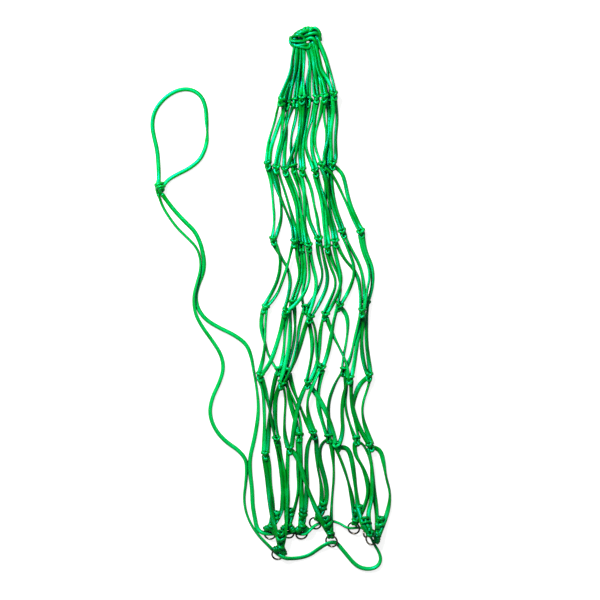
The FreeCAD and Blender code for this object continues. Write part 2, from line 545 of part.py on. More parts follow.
def lay_net(frames):
    """Fills the tables above and settles them; gives the route of every cord and each knot's middle."""
    new_point(0, 0, 0, 0.0, held=False)
    drop = {0: BACK, 1: FRONT}
    knots, routes = {}, {}
    for row, laid_row in enumerate(KNOTS, 1):
        for name, (x, y, side) in laid_row.items():
            knots[row, name] = new_point(x, y, drop[side], 0.35)
            new_bead(knots[row, name], NONE, KNOT_CORE, KNOT_R, (row, name))
    for name, (middle, normal, to_hitch) in frames.items():
        across = normal.cross(to_hitch)
        new_bead(WORLD, tuple(middle + to_hitch * RING_R), tuple(across * SLEEVE_CORE), SLEEVE_R + FIT / 2,
                 ("ring", name))
        spots = [middle + (to_hitch * math.cos(math.pi * i / 6) + across * math.sin(math.pi * i / 6)) * RING_R
                 for i in range(12)]
        new_loop([tuple(spot) for spot in spots], WIRE_R, (name, "wire"))
    new_loop([tuple(corner) for corner in eye_corners()], EYE_SECTION_R, "eye")
    seats = {}
    for number, (x, y) in enumerate(EYE_SEATS):
        for layer, height in (("low", LOW_SEAT), ("top", TOP_SEAT)):
            seats["%s%d" % (layer, number)] = new_point(x, y, height * EYE_SECTION_R, 0.0)
    for row, course in enumerate(LEGS, 1):
        upper, lower = left_and_right(course, 0), left_and_right(course, 1)
        for number, (above, below, via) in enumerate(course):
            if row == 1:
                first, first_seat = (seats[above], NONE), "eye"
                start = drop[0] if above.startswith("low") else drop[1]
            else:
                first = (knots[row - 1, above], (STRAND_OFF * upper[number], -STRAND_IN, 0.0))
                first_seat, start = (row - 1, above), drop[KNOTS[row - 2][above][2]]
            if row <= len(KNOTS):
                last = (knots[row, below], (STRAND_OFF * lower[number], STRAND_IN, 0.0))
                last_seat, finish = (row, below), drop[KNOTS[row - 1][below][2]]
            else:
                middle, normal, to_hitch = frames[below]
                across = normal.cross(to_hitch)
                step = math.copysign(STRAND_OFF * lower[number], across.x * lower[number])
                last = (WORLD, tuple(middle + to_hitch * (RING_R + SLEEVE_SEAT * SLEEVE_R) + across * step))
                last_seat, finish = ("ring", below), BACK
            route = [first]
            for step, (x, y) in enumerate(via, 1):
                share = step / (len(via) + 1)
                height = start + (finish - start) * share + SWAP * (number * 7 % 5)
                route.append((new_point(x, y, height), NONE))
            route.append(last)
            routes["leg", row, number] = route
            new_cord(route, CORD_R, ("leg", row, number), first_seat, last_seat)
    tail = new_point(TAIL_KNOT[0], TAIL_KNOT[1], size["tail_knot_width"] / 2, 0.0)
    half = size["tail_knot_length"] / 4
    new_bead(tail, NONE, (0.0, half, 0.0), size["tail_knot_width"] / 2, "tail knot")
    string = [(new_point(*spot), NONE) for stretch in STRING.values() for spot in stretch]
    string = [(tail, (TAIL_OFF, -half, 0.0))] + string + [(tail, (-TAIL_OFF, -half, 0.0))]
    hang = [(new_point(*spot), NONE) for spot in HANG_LOOP]
    hang = [(tail, (TAIL_OFF, half, 0.0))] + hang + [(tail, (-TAIL_OFF, half, 0.0))]
    for name, route in (("string", string), ("hang", hang)):
        routes[name] = route
        new_cord(route, STRING_R, (name,), "tail knot", "tail knot")
    settle([(route, laid_bends(route)) for route in routes.values()], 1.5 * FIT)
    lines = {name: [V(*(p + s for p, s in zip(points[point], shift))) for point, shift in route]
             for name, route in routes.items()}
    return lines, {key: V(*points[point]) for key, point in knots.items()}


# ---------------------------------------------------------------- shapes
tight = {}


def rounded_path(corners, kind):
    """Straight runs joined by tangent arcs, each as large as its two runs allow."""
    edges, here = [], corners[0]
    length = 0.0
    for before, corner, after in zip(corners, corners[1:], corners[2:]):
        run_in, run_out = corner - before, after - corner
        turn = run_in.getAngle(run_out)
        cut = CUT * min(run_in.Length, run_out.Length)
        if turn < math.radians(0.3):
            continue
        radius = cut / math.tan(turn / 2)
        tight[kind] = min(tight.get(kind, radius), radius)
        enter = corner - V(run_in).normalize() * cut
        leave = corner + V(run_out).normalize() * cut
        inward = (V(run_out).normalize() - V(run_in).normalize()).normalize()
        middle = corner + inward * (radius / math.cos(turn / 2) - radius)
        edges += [Part.LineSegment(here, enter), Part.Arc(enter, middle, leave)]
        length += (enter - here).Length + radius * turn
        here = leave
    edges.append(Part.LineSegment(here, corners[-1]))
    length += (corners[-1] - here).Length
    return Part.Wire([edge.toShape() for edge in edges]), length


def tube(corners, radius, kind):
    """A round cord along the rounded path; its volume is its section times its length."""
    path, length = rounded_path(corners, kind)
    start = corners[0]
    section = Part.Wire(Part.Circle(start, corners[1] - start, radius).toShape())
    solid = path.makePipeShell([section], True, False)
    exact = math.pi * radius ** 2 * length
    if not solid.isValid() or abs(solid.Volume - exact) > 0.005 * exact:
        raise ValueError("cord %s has volume %.1f, not %.1f" % (kind, solid.Volume, exact))
    return solid, length


def barrel(middle, width, length, strands):
    """A knot as a bulged barrel along +Y, wide enough at its ends for the strands that enter it."""
    near, far = V(0, -length / 2, 0) + middle, V(0, length / 2, 0) + middle
    edge, bulge = V(strands, 0, 0), V(width / 2, 0, 0) + middle
    edges = [Part.LineSegment(near, near + edge).toShape(),
             Part.Arc(near + edge, bulge, far + edge).toShape(),
             Part.LineSegment(far + edge, far).toShape(),
             Part.LineSegment(far, near).toShape()]
    return Part.Face(Part.Wire(edges)).revolve(middle, V(0, 1, 0), 360)


def seat(cord, *carriers):
    """The cord ends face to face with the pieces that it is seated in."""
    for carrier in carriers:
        cord = cord.cut(carrier)
    return max(cord.Solids, key=lambda solid: solid.Volume)


def feature(name, shape):
    item = doc.addObject("Part::Feature", name)
    item.Label = name
    item.Shape = shape
    item.Placement = FreeCAD.Placement()
    return item


def oval(name, radius, straight="sizes.eye_straight", bend="sizes.eye_bend"):
    """A closed oval ring of round section: two half tori and two straight sides."""
    members = []
    for side, turn in (("right", -90.0), ("left", 90.0)):
        half = doc.addObject("Part::Torus", "%s_%s_bend" % (name, side))
        half.Angle3 = 180.0
        half.setExpression("Radius1", bend)
        half.setExpression("Radius2", radius)
        sign = "" if side == "right" else "-"
        half.Placement = FreeCAD.Placement(V(0, 0, 0), FreeCAD.Rotation(V(0, 0, 1), turn))
        half.setExpression("Placement.Base.x", "%s%s / 2" % (sign, straight))
        members.append(half)
    for side, sign in (("near", "-"), ("far", "")):
        bar = doc.addObject("Part::Cylinder", "%s_%s_side" % (name, side))
        bar.setExpression("Radius", radius)
        bar.setExpression("Height", straight)
        bar.Placement = FreeCAD.Placement(V(0, 0, 0), FreeCAD.Rotation(V(0, 1, 0), 90))
        bar.setExpression("Placement.Base.x", "-%s / 2" % straight)
        bar.setExpression("Placement.Base.y", "%s%s" % (sign, bend))
        members.append(bar)
    whole = doc.addObject("Part::MultiFuse", name)
    whole.Shapes = members
    return whole


def cut_feature(name, base, tool, placement):
    item = doc.addObject("Part::Cut", name)
    item.Label = name
    item.Base, item.Tool = base, tool
    item.Placement = placement
    return item


nodes = []
frames = ring_frames()
lines, knot_middles = lay_net(frames)

# the eye: a cord ring bound all round with the net's own cord
eye_place = FreeCAD.Placement(V(0, 0, EYE_SECTION_R), FreeCAD.Rotation(V(0, 0, 1), size["eye_turn"]))
eye_core = oval("eye_core", "sizes.eye_core / 2")
eye_core.Label = "eye_core"
eye_core.Placement = eye_place
eye_body = oval("eye_body", "sizes.eye_core / 2 + sizes.tight_cord")
eye_bore = oval("eye_bore", "sizes.eye_core / 2")
nodes += [eye_core, cut_feature("eye_wrap", eye_body, eye_bore, eye_place)]

# mouth rings, and the hitch of net cord that holds each one
sleeves = {}
for number, (name, (middle, normal, to_hitch)) in enumerate(frames.items(), 1):
    half_sweep = size["hitch_sweep"] / 2
    start = FreeCAD.Rotation(normal, -half_sweep).multVec(to_hitch)
    place = FreeCAD.Placement(middle, FreeCAD.Rotation(start, normal.cross(start), normal, "ZXY"))
    ring = doc.addObject("Part::Torus", "ring_%d" % number)
    ring.Label = "ring_%d" % number
    ring.setExpression("Radius1", "(sizes.ring_outer - sizes.ring_wire) / 2")
    ring.setExpression("Radius2", "sizes.ring_wire / 2")
    ring.Placement = place
    parts = []
    for use, radius in (("turns", "sizes.ring_wire / 2 + sizes.run_fit + sizes.tight_cord"),
                        ("bore", "sizes.ring_wire / 2 + sizes.run_fit")):
        part = doc.addObject("Part::Torus", "hitch_%d_%s" % (number, use))
        part.setExpression("Radius1", "(sizes.ring_outer - sizes.ring_wire) / 2")
        part.setExpression("Radius2", radius)
        if use == "turns":
            part.setExpression("Angle3", "sizes.hitch_sweep")
        parts.append(part)
    hitch = cut_feature("hitch_%d" % number, parts[0], parts[1], place)
    nodes += [ring, hitch]
    sleeves[name] = (parts[0], place)
doc.recompute()

# knots, a row at a time
knot_solids = {}
for row in range(1, len(KNOTS) + 1):
    for name in KNOTS[row - 1]:
        knot_solids[row, name] = barrel(knot_middles[row, name], size["knot_width"], size["knot_length"],
                                        STRAND_OFF + CORD_R + FIT)
    nodes.append(feature("knots_row_%d" % row,
                         Part.makeCompound([knot_solids[row, name] for name in KNOTS[row - 1]])))

# legs, a course at a time
eye_solid = eye_body.Shape.copy()
eye_solid.Placement = eye_place
carriers = dict(knot_solids)
for name, (turns, place) in sleeves.items():
    solid = turns.Shape.copy()
    solid.Placement = place
    carriers["ring", name] = solid
for row, course in enumerate(LEGS, 1):
    solids = []
    for number, (above, below, _) in enumerate(course):
        cord, _ = tube(lines["leg", row, number], CORD_R, "net cord")
        upper = eye_solid if row == 1 else carriers[row - 1, above]
        lower = carriers[row, below] if row <= len(KNOTS) else carriers["ring", below]
        solids.append(seat(cord, upper, lower))
    nodes.append(feature("legs_course_%d" % row, Part.makeCompound(solids)))

# the knot in the tails, the drawstring's four stretches and the hanging loop
tail_place = V(TAIL_KNOT[0], TAIL_KNOT[1], size["tail_knot_width"] / 2)
tail_knot = barrel(tail_place, size["tail_knot_width"], size["tail_knot_length"], TAIL_OFF + STRING_R + FIT)
nodes.append(feature("tail_knot", tail_knot))
line, first = lines["string"], 0
for name, stretch in STRING.items():
    last = first + len(stretch)
    corners = [line[0]] if first == 0 else [(line[first] + line[first + 1]) * 0.5]
    corners += line[first + 1:last + 1]
    corners.append(line[-1] if last + 2 == len(line) else (line[last] + line[last + 1]) * 0.5)
    cord, length = tube(corners, STRING_R, name)
    print("%s %.0f mm long" % (name, length))
    nodes.append(feature(name, seat(cord, tail_knot) if name.endswith("tail") else cord))
    first = last
cord, length = tube(lines["hang"], STRING_R, "hang_loop")
print("hang_loop %.0f mm long" % length)
nodes.append(feature("hang_loop", seat(cord, tail_knot)))
for kind, radius in tight.items():
    print("tightest bend of %s %.1f mm" % (kind, radius))

# ---------------------------------------------------------------- checks and export
doc.recompute()
for item in doc.Objects:
    if "Invalid" in item.State or "Error" in item.State:
        raise ValueError("%s failed: %s" % (item.Name, item.State))
os.makedirs("parts", exist_ok=True)
for item in nodes:
    if item.Shape.isNull() or not item.Shape.isValid():
        raise ValueError("%s has no valid shape" % item.Label)
    item.Shape.exportStep("parts/%s.step" % item.Label)
print(len(nodes), "nodes")
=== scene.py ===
# %% [markdown]
# # Drawstring hay net
#
# A knotted cord bag lies empty and flat on a pale floor.  Its closed end is bound to a cord-wrapped eye,
# its mouth hangs on steel rings, and a drawstring runs through the rings.  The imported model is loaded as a
# fixed frame.  Every soft piece is rebuilt here along the same laid routes, with the braid, the knots and
# the hitches that the plain solids leave out.

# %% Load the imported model
import math

import bpy
import numpy as np
from mathutils import Matrix, Vector


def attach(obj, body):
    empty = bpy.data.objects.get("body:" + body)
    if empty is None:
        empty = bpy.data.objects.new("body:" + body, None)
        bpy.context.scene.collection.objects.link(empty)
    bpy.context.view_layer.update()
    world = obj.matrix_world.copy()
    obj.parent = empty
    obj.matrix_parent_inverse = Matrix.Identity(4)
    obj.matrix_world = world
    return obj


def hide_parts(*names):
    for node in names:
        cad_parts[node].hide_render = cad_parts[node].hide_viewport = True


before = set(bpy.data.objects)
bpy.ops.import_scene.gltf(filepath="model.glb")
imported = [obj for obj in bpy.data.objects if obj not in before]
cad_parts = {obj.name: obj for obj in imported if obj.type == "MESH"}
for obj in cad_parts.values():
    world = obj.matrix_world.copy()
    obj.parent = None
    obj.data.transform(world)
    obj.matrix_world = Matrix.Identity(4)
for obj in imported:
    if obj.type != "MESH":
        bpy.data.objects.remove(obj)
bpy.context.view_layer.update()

# %% [markdown]
# ## Sizes
#
# The cord is a soft tubular braid, so it lies flat: it is wider than it is thick.  To keep cords clear of
# each other it counts as a round cord of equal section, which needs only one radius.  Lengths in the code
# are metres.

# %% Sizes of the cords, the rings, the eye and the knots
STRING_CORD = 0.006              # the drawstring as a round cord of equal section
TIGHT_CORD = 0.005               # the netting cord where it is pulled tight round something
RING_WIRE = 0.0033
RING_R = 0.0125 - RING_WIRE / 2  # middle of a ring's wire
FIT = 0.0003                     # running clearance between soft pieces
EYE_STRAIGHT, EYE_BEND = 0.013, 0.0145
EYE_CORE, EYE_TURN = 0.005, 27
TAIL_WIDTH, TAIL_LENGTH = 0.021, 0.020

STRING_R, WIRE_R = STRING_CORD / 2, RING_WIRE / 2
SLEEVE_R = WIRE_R + FIT + TIGHT_CORD
EYE_SECTION_R = EYE_CORE / 2 + TIGHT_CORD
KNOT_R = 0.0075
PRESSED_R = 0.0024               # half a leg's thickness where it lies flat against another
STRAND_OFF = 0.00325             # how far a leg enters beside a knot's middle
STRAND_IN = 0.003                # and how far above or below it
KNOT_CORE = (0.0, 0.0025, 0.0)   # half the straight part of a knot's bead
SLEEVE_CORE = 0.0033             # half the straight part of a hitch's bead
SLEEVE_SEAT = 0.66               # how deep legs sit in a hitch, as a share of its radius
LOW_SEAT, TOP_SEAT = 0.52, 1.44  # heights of the seats on the eye, as shares of its section's radius
TAIL_OFF = STRING_R + FIT
NONE = (0.0, 0.0, 0.0)
print("a ring is %.1f mm across outside, and the eye %.1f mm long"
      % (2000 * (RING_R + WIRE_R), 1000 * (EYE_STRAIGHT + 2 * (EYE_BEND + EYE_SECTION_R))))

# %% [markdown]
# ## Where things lie
#
# An empty net has no shape of its own, only the way it was dropped.  Its routes could come from a cloth
# simulation, but that would fold the net in its own way.  Here they are listed, seen from above, in
# millimetres from the middle of the eye: x to the right and y up along the net.  The settling below then
# only has to give every crossing its height.

# %% The seats, the rings and the knots


def metres(*lengths):
    """Millimetres turned to metres."""
    return tuple(length / 1000 for length in lengths)


# Seats of the first legs on the eye, left to right; each seat holds a low and a top leg.
EYE_SEATS = ((-19, -8), (-15, -14), (-10, -17), (-4, -17.5), (2, -15.5), (8, -12.5), (13, -9.5), (17, -4),
             (19.5, 3))

# A mouth ring that lies nearly flat: its middle, and in degrees the azimuth of its hitch and of the place
# where the string goes under it.
FLAT_RINGS = {
    "A": (-51, -952, 68, 138), "B": (-66, -914, 75, 3), "C": (-32, -912, 88, 9), "D": (-7, -914, 88, 170),
    "E": (18, -895, 65, 12), "G": (48, -928, 98, -22), "H": (89, -904, 78, -5),
    "I": (122, -923.5, 38, -65),
}
# The one ring that stands up: the ring beside it, where the string rests in it from that ring's middle
# and above the floor, the string's heading, and its lean.
STANDING_RING = {"J": ("I", -11.5, 15.3, 7.9, -18, -25)}

# Middles of the netting knots, a row at a time: x, y and the side of the net, 0 behind and 1 in front.
KNOTS = (
    {"a": (-43, -117, 1), "b": (-32, -124, 0), "c": (-20, -118, 0), "d": (-6, -113, 1), "e": (6, -117, 0),
     "f": (19, -111, 1), "g": (36, -111, 1), "h": (51, -107, 1), "i": (44, -118, 0)},
    {"a": (-69, -233, 1), "b": (-54, -240, 1), "c": (-37, -244, 1), "d": (-21, -240, 0),
     "e": (-6, -245, 1), "f": (19, -247, 1), "g": (32, -237, 1), "h": (50, -233, 1), "i": (38, -251, 0)},
    {"a": (-59, -372, 1), "b": (-18, -377, 1), "c": (3, -385, 1), "d": (25, -372, 1), "e": (40, -388, 1),
     "f": (55, -377, 1), "g": (69, -359, 1), "h": (103, -359, 1), "i": (-8, -385, 0)},
    {"a": (-75, -498, 1), "b": (-36, -505, 1), "c": (-26, -491, 0), "d": (1, -500, 0), "e": (7, -516, 1),
     "f": (36, -512, 1), "g": (61, -494, 1), "h": (110, -490, 0), "i": (105, -505, 1)},
    {"a": (-84, -623, 1), "b": (-48, -614, 0), "c": (-33, -616, 0), "d": (-45, -638, 1), "e": (6, -638, 1),
     "f": (29, -609, 1), "g": (73, -614, 0), "h": (80, -628, 1), "i": (117, -623, 1)},
    {"a": (-74, -768, 1), "b": (-53, -742, 1), "c": (-29, -758, 1), "d": (-11, -736, 0),
     "e": (15, -731, 1), "f": (44, -738, 0), "g": (58, -753, 1), "h": (95, -742, 0), "i": (119, -753, 1)},
)

print("%d mouth rings and %d knots" % (len(FLAT_RINGS) + len(STANDING_RING), sum(map(len, KNOTS))))

# %% The legs
# A course at a time: the seat or knot above, the knot or ring below, and the points between them.
LEGS = ((   # course 1
    ("top0", "a", (-19.5, -32), (-25, -60), (-37, -88)),
    ("low0", "a", (-19.5, -32), (-25, -60), (-33, -89)),
    ("low1", "b", (-14, -32), (-18.5, -60), (-28, -94)),
    ("top1", "b", (-14, -32), (-18.5, -60), (-26, -94)),
    ("low2", "c", (-8.5, -32), (-12, -60), (-17, -90)),
    ("top2", "c", (-8.5, -32), (-12, -60), (-15, -91)),
    ("low3", "d", (-3, -32), (-5, -60), (-7, -86)),
    ("top3", "d", (-3, -32), (-5, -60), (-4, -86)),
    ("low4", "e", (8, -32), (9, -60), (2, -89)),
    ("top4", "e", (8, -32), (9, -60), (7, -89)),
    ("low5", "f", (13.5, -32), (16, -60), (14, -85)),
    ("top5", "f", (13.5, -32), (16, -60), (21, -84)),
    ("low6", "g", (19, -32), (22.5, -60), (30, -84)),
    ("top6", "g", (19, -32), (22.5, -60), (35, -83)),
    ("low7", "i", (24.5, -32), (29, -60), (38, -88)),
    ("low8", "i", (31, -26), (40, -53), (44, -83)),
    ("top7", "h", (24.5, -32), (29, -60), (44, -80)),
    ("top8", "h", (33, -26), (43, -53), (50, -77)),
), (   # course 2
    ("a", "a", (-52.5, -133), (-56.5, -152), (-63, -172), (-68.5, -192), (-69.5, -213)),
    ("b", "a", (-41.5, -139), (-48, -155), (-55.5, -176), (-63, -196), (-66.5, -215)),
    ("a", "b", (-40, -137), (-42.5, -159), (-44.5, -181), (-49, -204), (-52.5, -224)),
    ("b", "c", (-35, -142), (-35, -165), (-37, -187), (-39, -209), (-39, -228)),
    ("c", "b", (-30.5, -133), (-35, -154), (-39, -176), (-44.5, -200), (-50, -222)),
    ("c", "d", (-16.5, -137), (-20.5, -157), (-26, -178), (-27, -200), (-24, -222)),
    ("e", "c", (1, -137), (-6.5, -161), (-14, -185), (-22, -209), (-30.5, -229)),
    ("d", "d", (-8.5, -137), (-10, -161), (-14, -185), (-18.5, -207), (-20.5, -226)),
    ("d", "e", (-4.5, -135), (-5.5, -161), (-9, -187), (-9, -211), (-7.5, -229)),
    ("e", "e", (4.5, -139), (0, -163), (-5.5, -187), (-7.5, -209), (-5.5, -229)),
    ("f", "f", (15, -133), (10, -155), (2, -178), (0, -202), (7.5, -224)),
    ("f", "f", (18.5, -135), (15.5, -161), (11, -185), (12, -209), (17.5, -229)),
    ("g", "g", (30.5, -133), (24, -154), (17.5, -176), (17.5, -200), (25, -222)),
    ("g", "i", (34, -131), (35, -152), (40.5, -172), (40.5, -200), (37, -229)),
    ("h", "h", (51, -128), (49, -148), (46, -168), (45.5, -192), (48, -215)),
    ("i", "g", (44.5, -139), (43.5, -161), (41.5, -183), (37, -205), (33.5, -222)),
    ("h", "h", (57.5, -128), (58.5, -152), (55.5, -178), (55.5, -202), (56.5, -220)),
    ("i", "i", (48, -139), (45.5, -163), (43.5, -187), (42.5, -209), (40, -231)),
), (   # course 3
    ("a", "a", (-65.5, -252), (-62, -276), (-60, -303), (-57.5, -329), (-59, -353)),
    ("b", "a", (-52.5, -261), (-48, -283), (-45, -307), (-44.5, -331), (-50, -353)),
    ("a", "b", (-61, -253), (-52.5, -279), (-41.5, -305), (-30.5, -331), (-22, -355)),
    ("b", "b", (-47, -257), (-38, -283), (-30.5, -309), (-23, -335), (-18.5, -357)),
    ("c", "i", (-32.5, -263), (-23, -287), (-15.5, -311), (-14, -337), (-10, -364)),
    ("c", "c", (-28, -261), (-17.5, -283), (-10, -309), (-6.5, -335), (-1, -363)),
    ("d", "d", (-14, -257), (-3.5, -281), (2, -307), (5.5, -333), (15, -355)),
    ("d", "i", (-17.5, -261), (-10, -285), (-8.5, -311), (-8.5, -337), (-9, -364)),
    ("e", "d", (4.5, -261), (12, -283), (15.5, -307), (21.5, -329), (24, -352)),
    ("e", "c", (-4.5, -266), (-1, -292), (-1, -318), (-2, -344), (2, -366)),
    ("f", "e", (20.5, -268), (28, -292), (32.5, -318), (34, -344), (38, -368)),
    ("i", "e", (37, -272), (37, -296), (38, -320), (39, -344), (41.5, -368)),
    ("f", "f", (25, -268), (33.5, -292), (40.5, -318), (46, -340), (52, -359)),
    ("g", "f", (38, -259), (41.5, -283), (44.5, -309), (48, -333), (54.5, -357)),
    ("i", "g", (42.5, -274), (47, -296), (52.5, -318), (60, -340)),
    ("h", "g", (47, -253), (49, -274), (53.5, -298), (59, -320), (66.5, -340)),
    ("g", "h", (42.5, -247), (54.5, -261), (65, -281), (75, -302), (84, -318), (91.5, -339)),
    ("h", "h", (59, -240), (68.5, -250), (74, -270), (77.5, -290), (83, -311), (92.5, -331), (100, -346)),
), (   # course 4
    ("a", "b", (-49, -398), (-27, -435), (-28, -478)),
    ("a", "a", (-46, -395), (-47, -435), (-63, -473)),
    ("b", "a", (-28, -403), (-40, -442), (-55, -480)),
    ("b", "c", (-14, -401), (-9, -435), (-20, -468)),
    ("i", "c", (-6, -407), (-5, -440), (-15, -472)),
    ("i", "d", (-2, -408), (-1, -443), (-8, -478)),
    ("c", "b", (6, -412), (8, -453), (-14, -489)),
    ("c", "e", (10, -411), (22, -450), (13, -490)),
    ("d", "d", (23, -399), (34, -439), (17, -477)),
    ("d", "e", (34, -402), (44, -448), (26, -490)),
    ("e", "g", (48, -409), (62, -439), (66, -472)),
    ("e", "f", (43, -415), (59, -451), (44, -487)),
    ("f", "f", (57, -407), (69, -449), (54, -490)),
    ("f", "i", (67, -403), (97, -434), (104, -476)),
    ("g", "g", (79, -387), (93, -429), (79, -470)),
    ("g", "h", (81, -385), (102, -421), (109, -462)),
    ("h", "i", (104, -389), (121, -431), (112, -475)),
    ("h", "h", (108, -386), (125, -425), (123, -465)),
), (   # course 5
    ("a", "b", (-84, -522), (-76, -560), (-64, -597)),
    ("a", "a", (-74, -523), (-75, -561), (-79, -599)),
    ("b", "a", (-43, -530), (-54, -568), (-67, -604)),
    ("b", "b", (-37, -527), (-39, -560), (-42, -593)),
    ("c", "d", (-28, -521), (-29, -565), (-40, -609)),
    ("c", "c", (-19, -516), (-20, -554), (-28, -591)),
    ("d", "d", (-11, -525), (-16, -570), (-27, -614)),
    ("e", "c", (-2, -536), (-10, -568), (-20, -599)),
    ("d", "e", (8, -527), (14, -569), (8, -610)),
    ("e", "f", (18, -533), (20, -562), (21, -591)),
    ("f", "e", (27, -537), (25, -576), (18, -615)),
    ("f", "h", (45, -536), (61, -569), (75, -604)),
    ("g", "f", (53, -516), (47, -552), (40, -587)),
    ("g", "g", (70.5, -502), (77, -514), (78.5, -536), (75, -562), (70, -589)),
    ("i", "g", (98, -527), (90, -560), (83, -594)),
    ("h", "h", (102, -517), (95, -559), (90, -602)),
    ("i", "i", (106, -529), (103, -566), (107, -601)),
    ("h", "i", (113, -517), (112, -557), (117, -597)),
), (   # course 6
    ("a", "a", (-78, -652), (-76, -695), (-76, -739)),
    ("a", "b", (-75, -646), (-67, -682), (-60, -718)),
    ("b", "a", (-60, -643), (-66, -690), (-69, -737)),
    ("d", "b", (-55, -657), (-57, -689), (-54, -721)),
    ("d", "c", (-36, -661), (-39, -698), (-39, -736)),
    ("e", "c", (-8, -659), (-18, -696), (-23, -734)),
    ("c", "e", (-26, -640), (-12, -675), (2, -710)),
    ("c", "d", (-33, -641), (-27, -677), (-16, -712)),
    ("b", "d", (-37, -638), (-20, -673), (-8, -710)),
    ("f", "e", (14, -631), (0, -667), (6, -706)),
    ("e", "g", (22, -658), (39, -692), (51, -728)),
    ("f", "f", (25, -635), (22, -675), (33, -714)),
    ("g", "f", (61, -626), (51, -645), (42, -673), (43, -711)),
    ("h", "g", (71, -653), (67, -691), (70, -730)),
    ("g", "h", (75, -641), (72, -680), (83, -718)),
    ("h", "i", (83, -655), (88, -694), (105, -731)),
    ("i", "h", (105, -633), (96, -647), (90, -666), (88, -690), (94, -718)),
    ("i", "i", (115, -646), (107, -668), (104, -691), (111, -722)),
), (   # course 7
    ("a", "A", (-73, -795), (-68, -835), (-64, -876), (-55, -913)),
    ("a", "B", (-67, -788), (-65, -819), (-62, -851), (-60, -881)),
    ("b", "B", (-49, -768), (-43, -806), (-41, -846), (-45, -883)),
    ("b", "C", (-47, -766), (-39, -802), (-36, -839), (-36, -874)),
    ("c", "A", (-34, -787), (-32, -828), (-32, -872), (-36, -912)),
    ("c", "G", (-19, -766), (-9, -788), (-1, -816), (9, -844), (19.5, -870), (29.5, -892)),
    ("d", "C", (-14, -762), (-13, -800), (-13, -840), (-22, -875)),
    ("d", "D", (-8, -762), (-7, -800), (-7, -839), (-8, -876)),
    ("e", "D", (8.5, -740), (3, -757), (1, -784), (3, -821), (1, -858)),
    ("e", "E", (20.5, -744), (20, -766), (22, -792), (28.5, -820), (30.5, -845), (28, -868)),
    ("f", "E", (33, -745), (27, -757), (26, -774), (29.5, -792), (37, -818), (40, -844), (36, -868)),
    ("f", "G", (51, -766), (53, -806), (49, -849), (47, -887)),
    ("g", "H", (64, -775), (75, -805), (84, -838), (89, -869)),
    ("g", "J", (70.5, -754.5), (80, -760), (86, -780), (90, -808), (94, -841), (98, -872), (104, -896)),
    ("h", "H", (88, -764), (109, -796), (118, -835), (108, -870)),
    ("h", "I", (106, -748), (114, -759), (121, -779), (125, -812), (127.5, -847), (132.5, -879)),
    ("i", "J", (122, -779), (123, -816), (122, -852), (113, -882)),
    ("i", "I", (130, -756), (139.5, -763), (144.5, -784), (149, -812), (156.5, -838), (154.5, -862),
     (145, -888)),
))

print("%d legs in %d courses" % (sum(map(len, LEGS)), len(LEGS)))

# %% The drawstring and its loop
# From the tail knot down to the mouth, round it and back.  Each of the four stretches is a node of its own.
# A third number is the height that a point was laid at, where it isn't LAID_HIGH.
LAID_HIGH = 3
STRING = {
    "string_left_tail": (
        (-256, -300), (-240, -320), (-221, -340), (-205, -355), (-195, -376), (-191, -394), (-189, -413),
        (-191, -433), (-200, -455), (-205, -477), (-201, -498), (-186, -518), (-162, -533), (-132, -547),
        (-109, -564), (-100, -587), (-95, -615), (-90, -645), (-87, -674), (-88, -703), (-95, -742),
        (-104, -773), (-105, -801), (-99, -834), (-98, -862), (-94, -886)),
    "string_back": (
        (-91, -907, 6), (-78, -914, 10), (-57, -916, 3.4), (-43, -916, 10), (-25, -914, 3.4),
        (-12, -916, 3.4), (0, -914, 8.5), (8, -906.5, 10), (17, -899, 6), (27, -893.5, 3.4),
        (39, -891, 3.4), (52, -891.5, 3.4), (65, -896, 5), (78, -903, 10), (95, -903.5, 4.5),
        (107.5, -905.5, 8.5), (117.5, -912, 10), (123.5, -922.5, 6)),
    "string_front": (
        (127, -934, 3.4), (132.5, -943, 3.4), (137.5, -953, 3.4), (139, -964, 3.4), (134.5, -973.5, 3.4),
        (125, -979, 3.4), (112, -980, 3.4), (99, -976.5, 3.4), (88, -968, 3.4), (78, -956, 3.4),
        (68, -944.5, 3.4), (57, -934, 3.4), (46, -931, 7.5), (34, -935, 8.5), (22, -944, 3.4),
        (8, -954, 3.4), (-8, -959, 3.4), (-23, -960.5, 3.4), (-38, -959, 9.5)),
    "string_right_tail": (
        (-57, -948, 3.4), (-70, -935, 3.4), (-85, -919), (-99, -899), (-110, -876), (-114, -850),
        (-110, -823), (-106, -797), (-109, -777), (-124, -760), (-147, -745), (-167, -723), (-178, -694),
        (-173, -664), (-159, -636), (-151, -609), (-156, -583), (-173, -557), (-192, -531, 6),
        (-203.5, -507, 9), (-205.5, -477, 9.4), (-199.5, -453, 9.4), (-192.5, -431, 9.4),
        (-191.5, -409, 9.4), (-200, -386, 7), (-218, -368), (-237, -350), (-254, -327), (-266, -304)),
}
# The hanging loop, out of the tail knot and back into it.
HANG_LOOP = (
    (-258, -263, 6), (-238, -251), (-215, -240), (-195, -224), (-184, -201), (-181, -176), (-183, -152),
    (-184, -128), (-192, -106), (-209, -94), (-229, -93), (-249, -101), (-267, -116), (-280, -136),
    (-284, -159), (-280, -182), (-274, -206), (-272, -232), (-271, -256, 6))
TAIL_KNOT = (-268, -282)
print("%d points of drawstring and %d of loop" % (sum(map(len, STRING.values())), len(HANG_LOOP)))

# %% [markdown]
# ## Points, places and pieces
#
# A cord on the floor is heavy and limp, and cannot pass through another.  Position-based dynamics keeps
# just that: every rule moves points directly, and many gentle passes add up to rest.  Each cord is a chain
# of route points.  A place is worked out from a few of them, so that the pushing is done on the rounded
# line that the spline draws, and a piece runs from one place to the next.

# %% Route points and places
CUT = 0.45               # the rounding of a corner, as a share of the shorter run beside it
SEAT_SPAN = 3            # pieces of a cord nearest its seat, which may touch what it is seated in

points, laid, ease, places, pieces = [], [], [], [], []


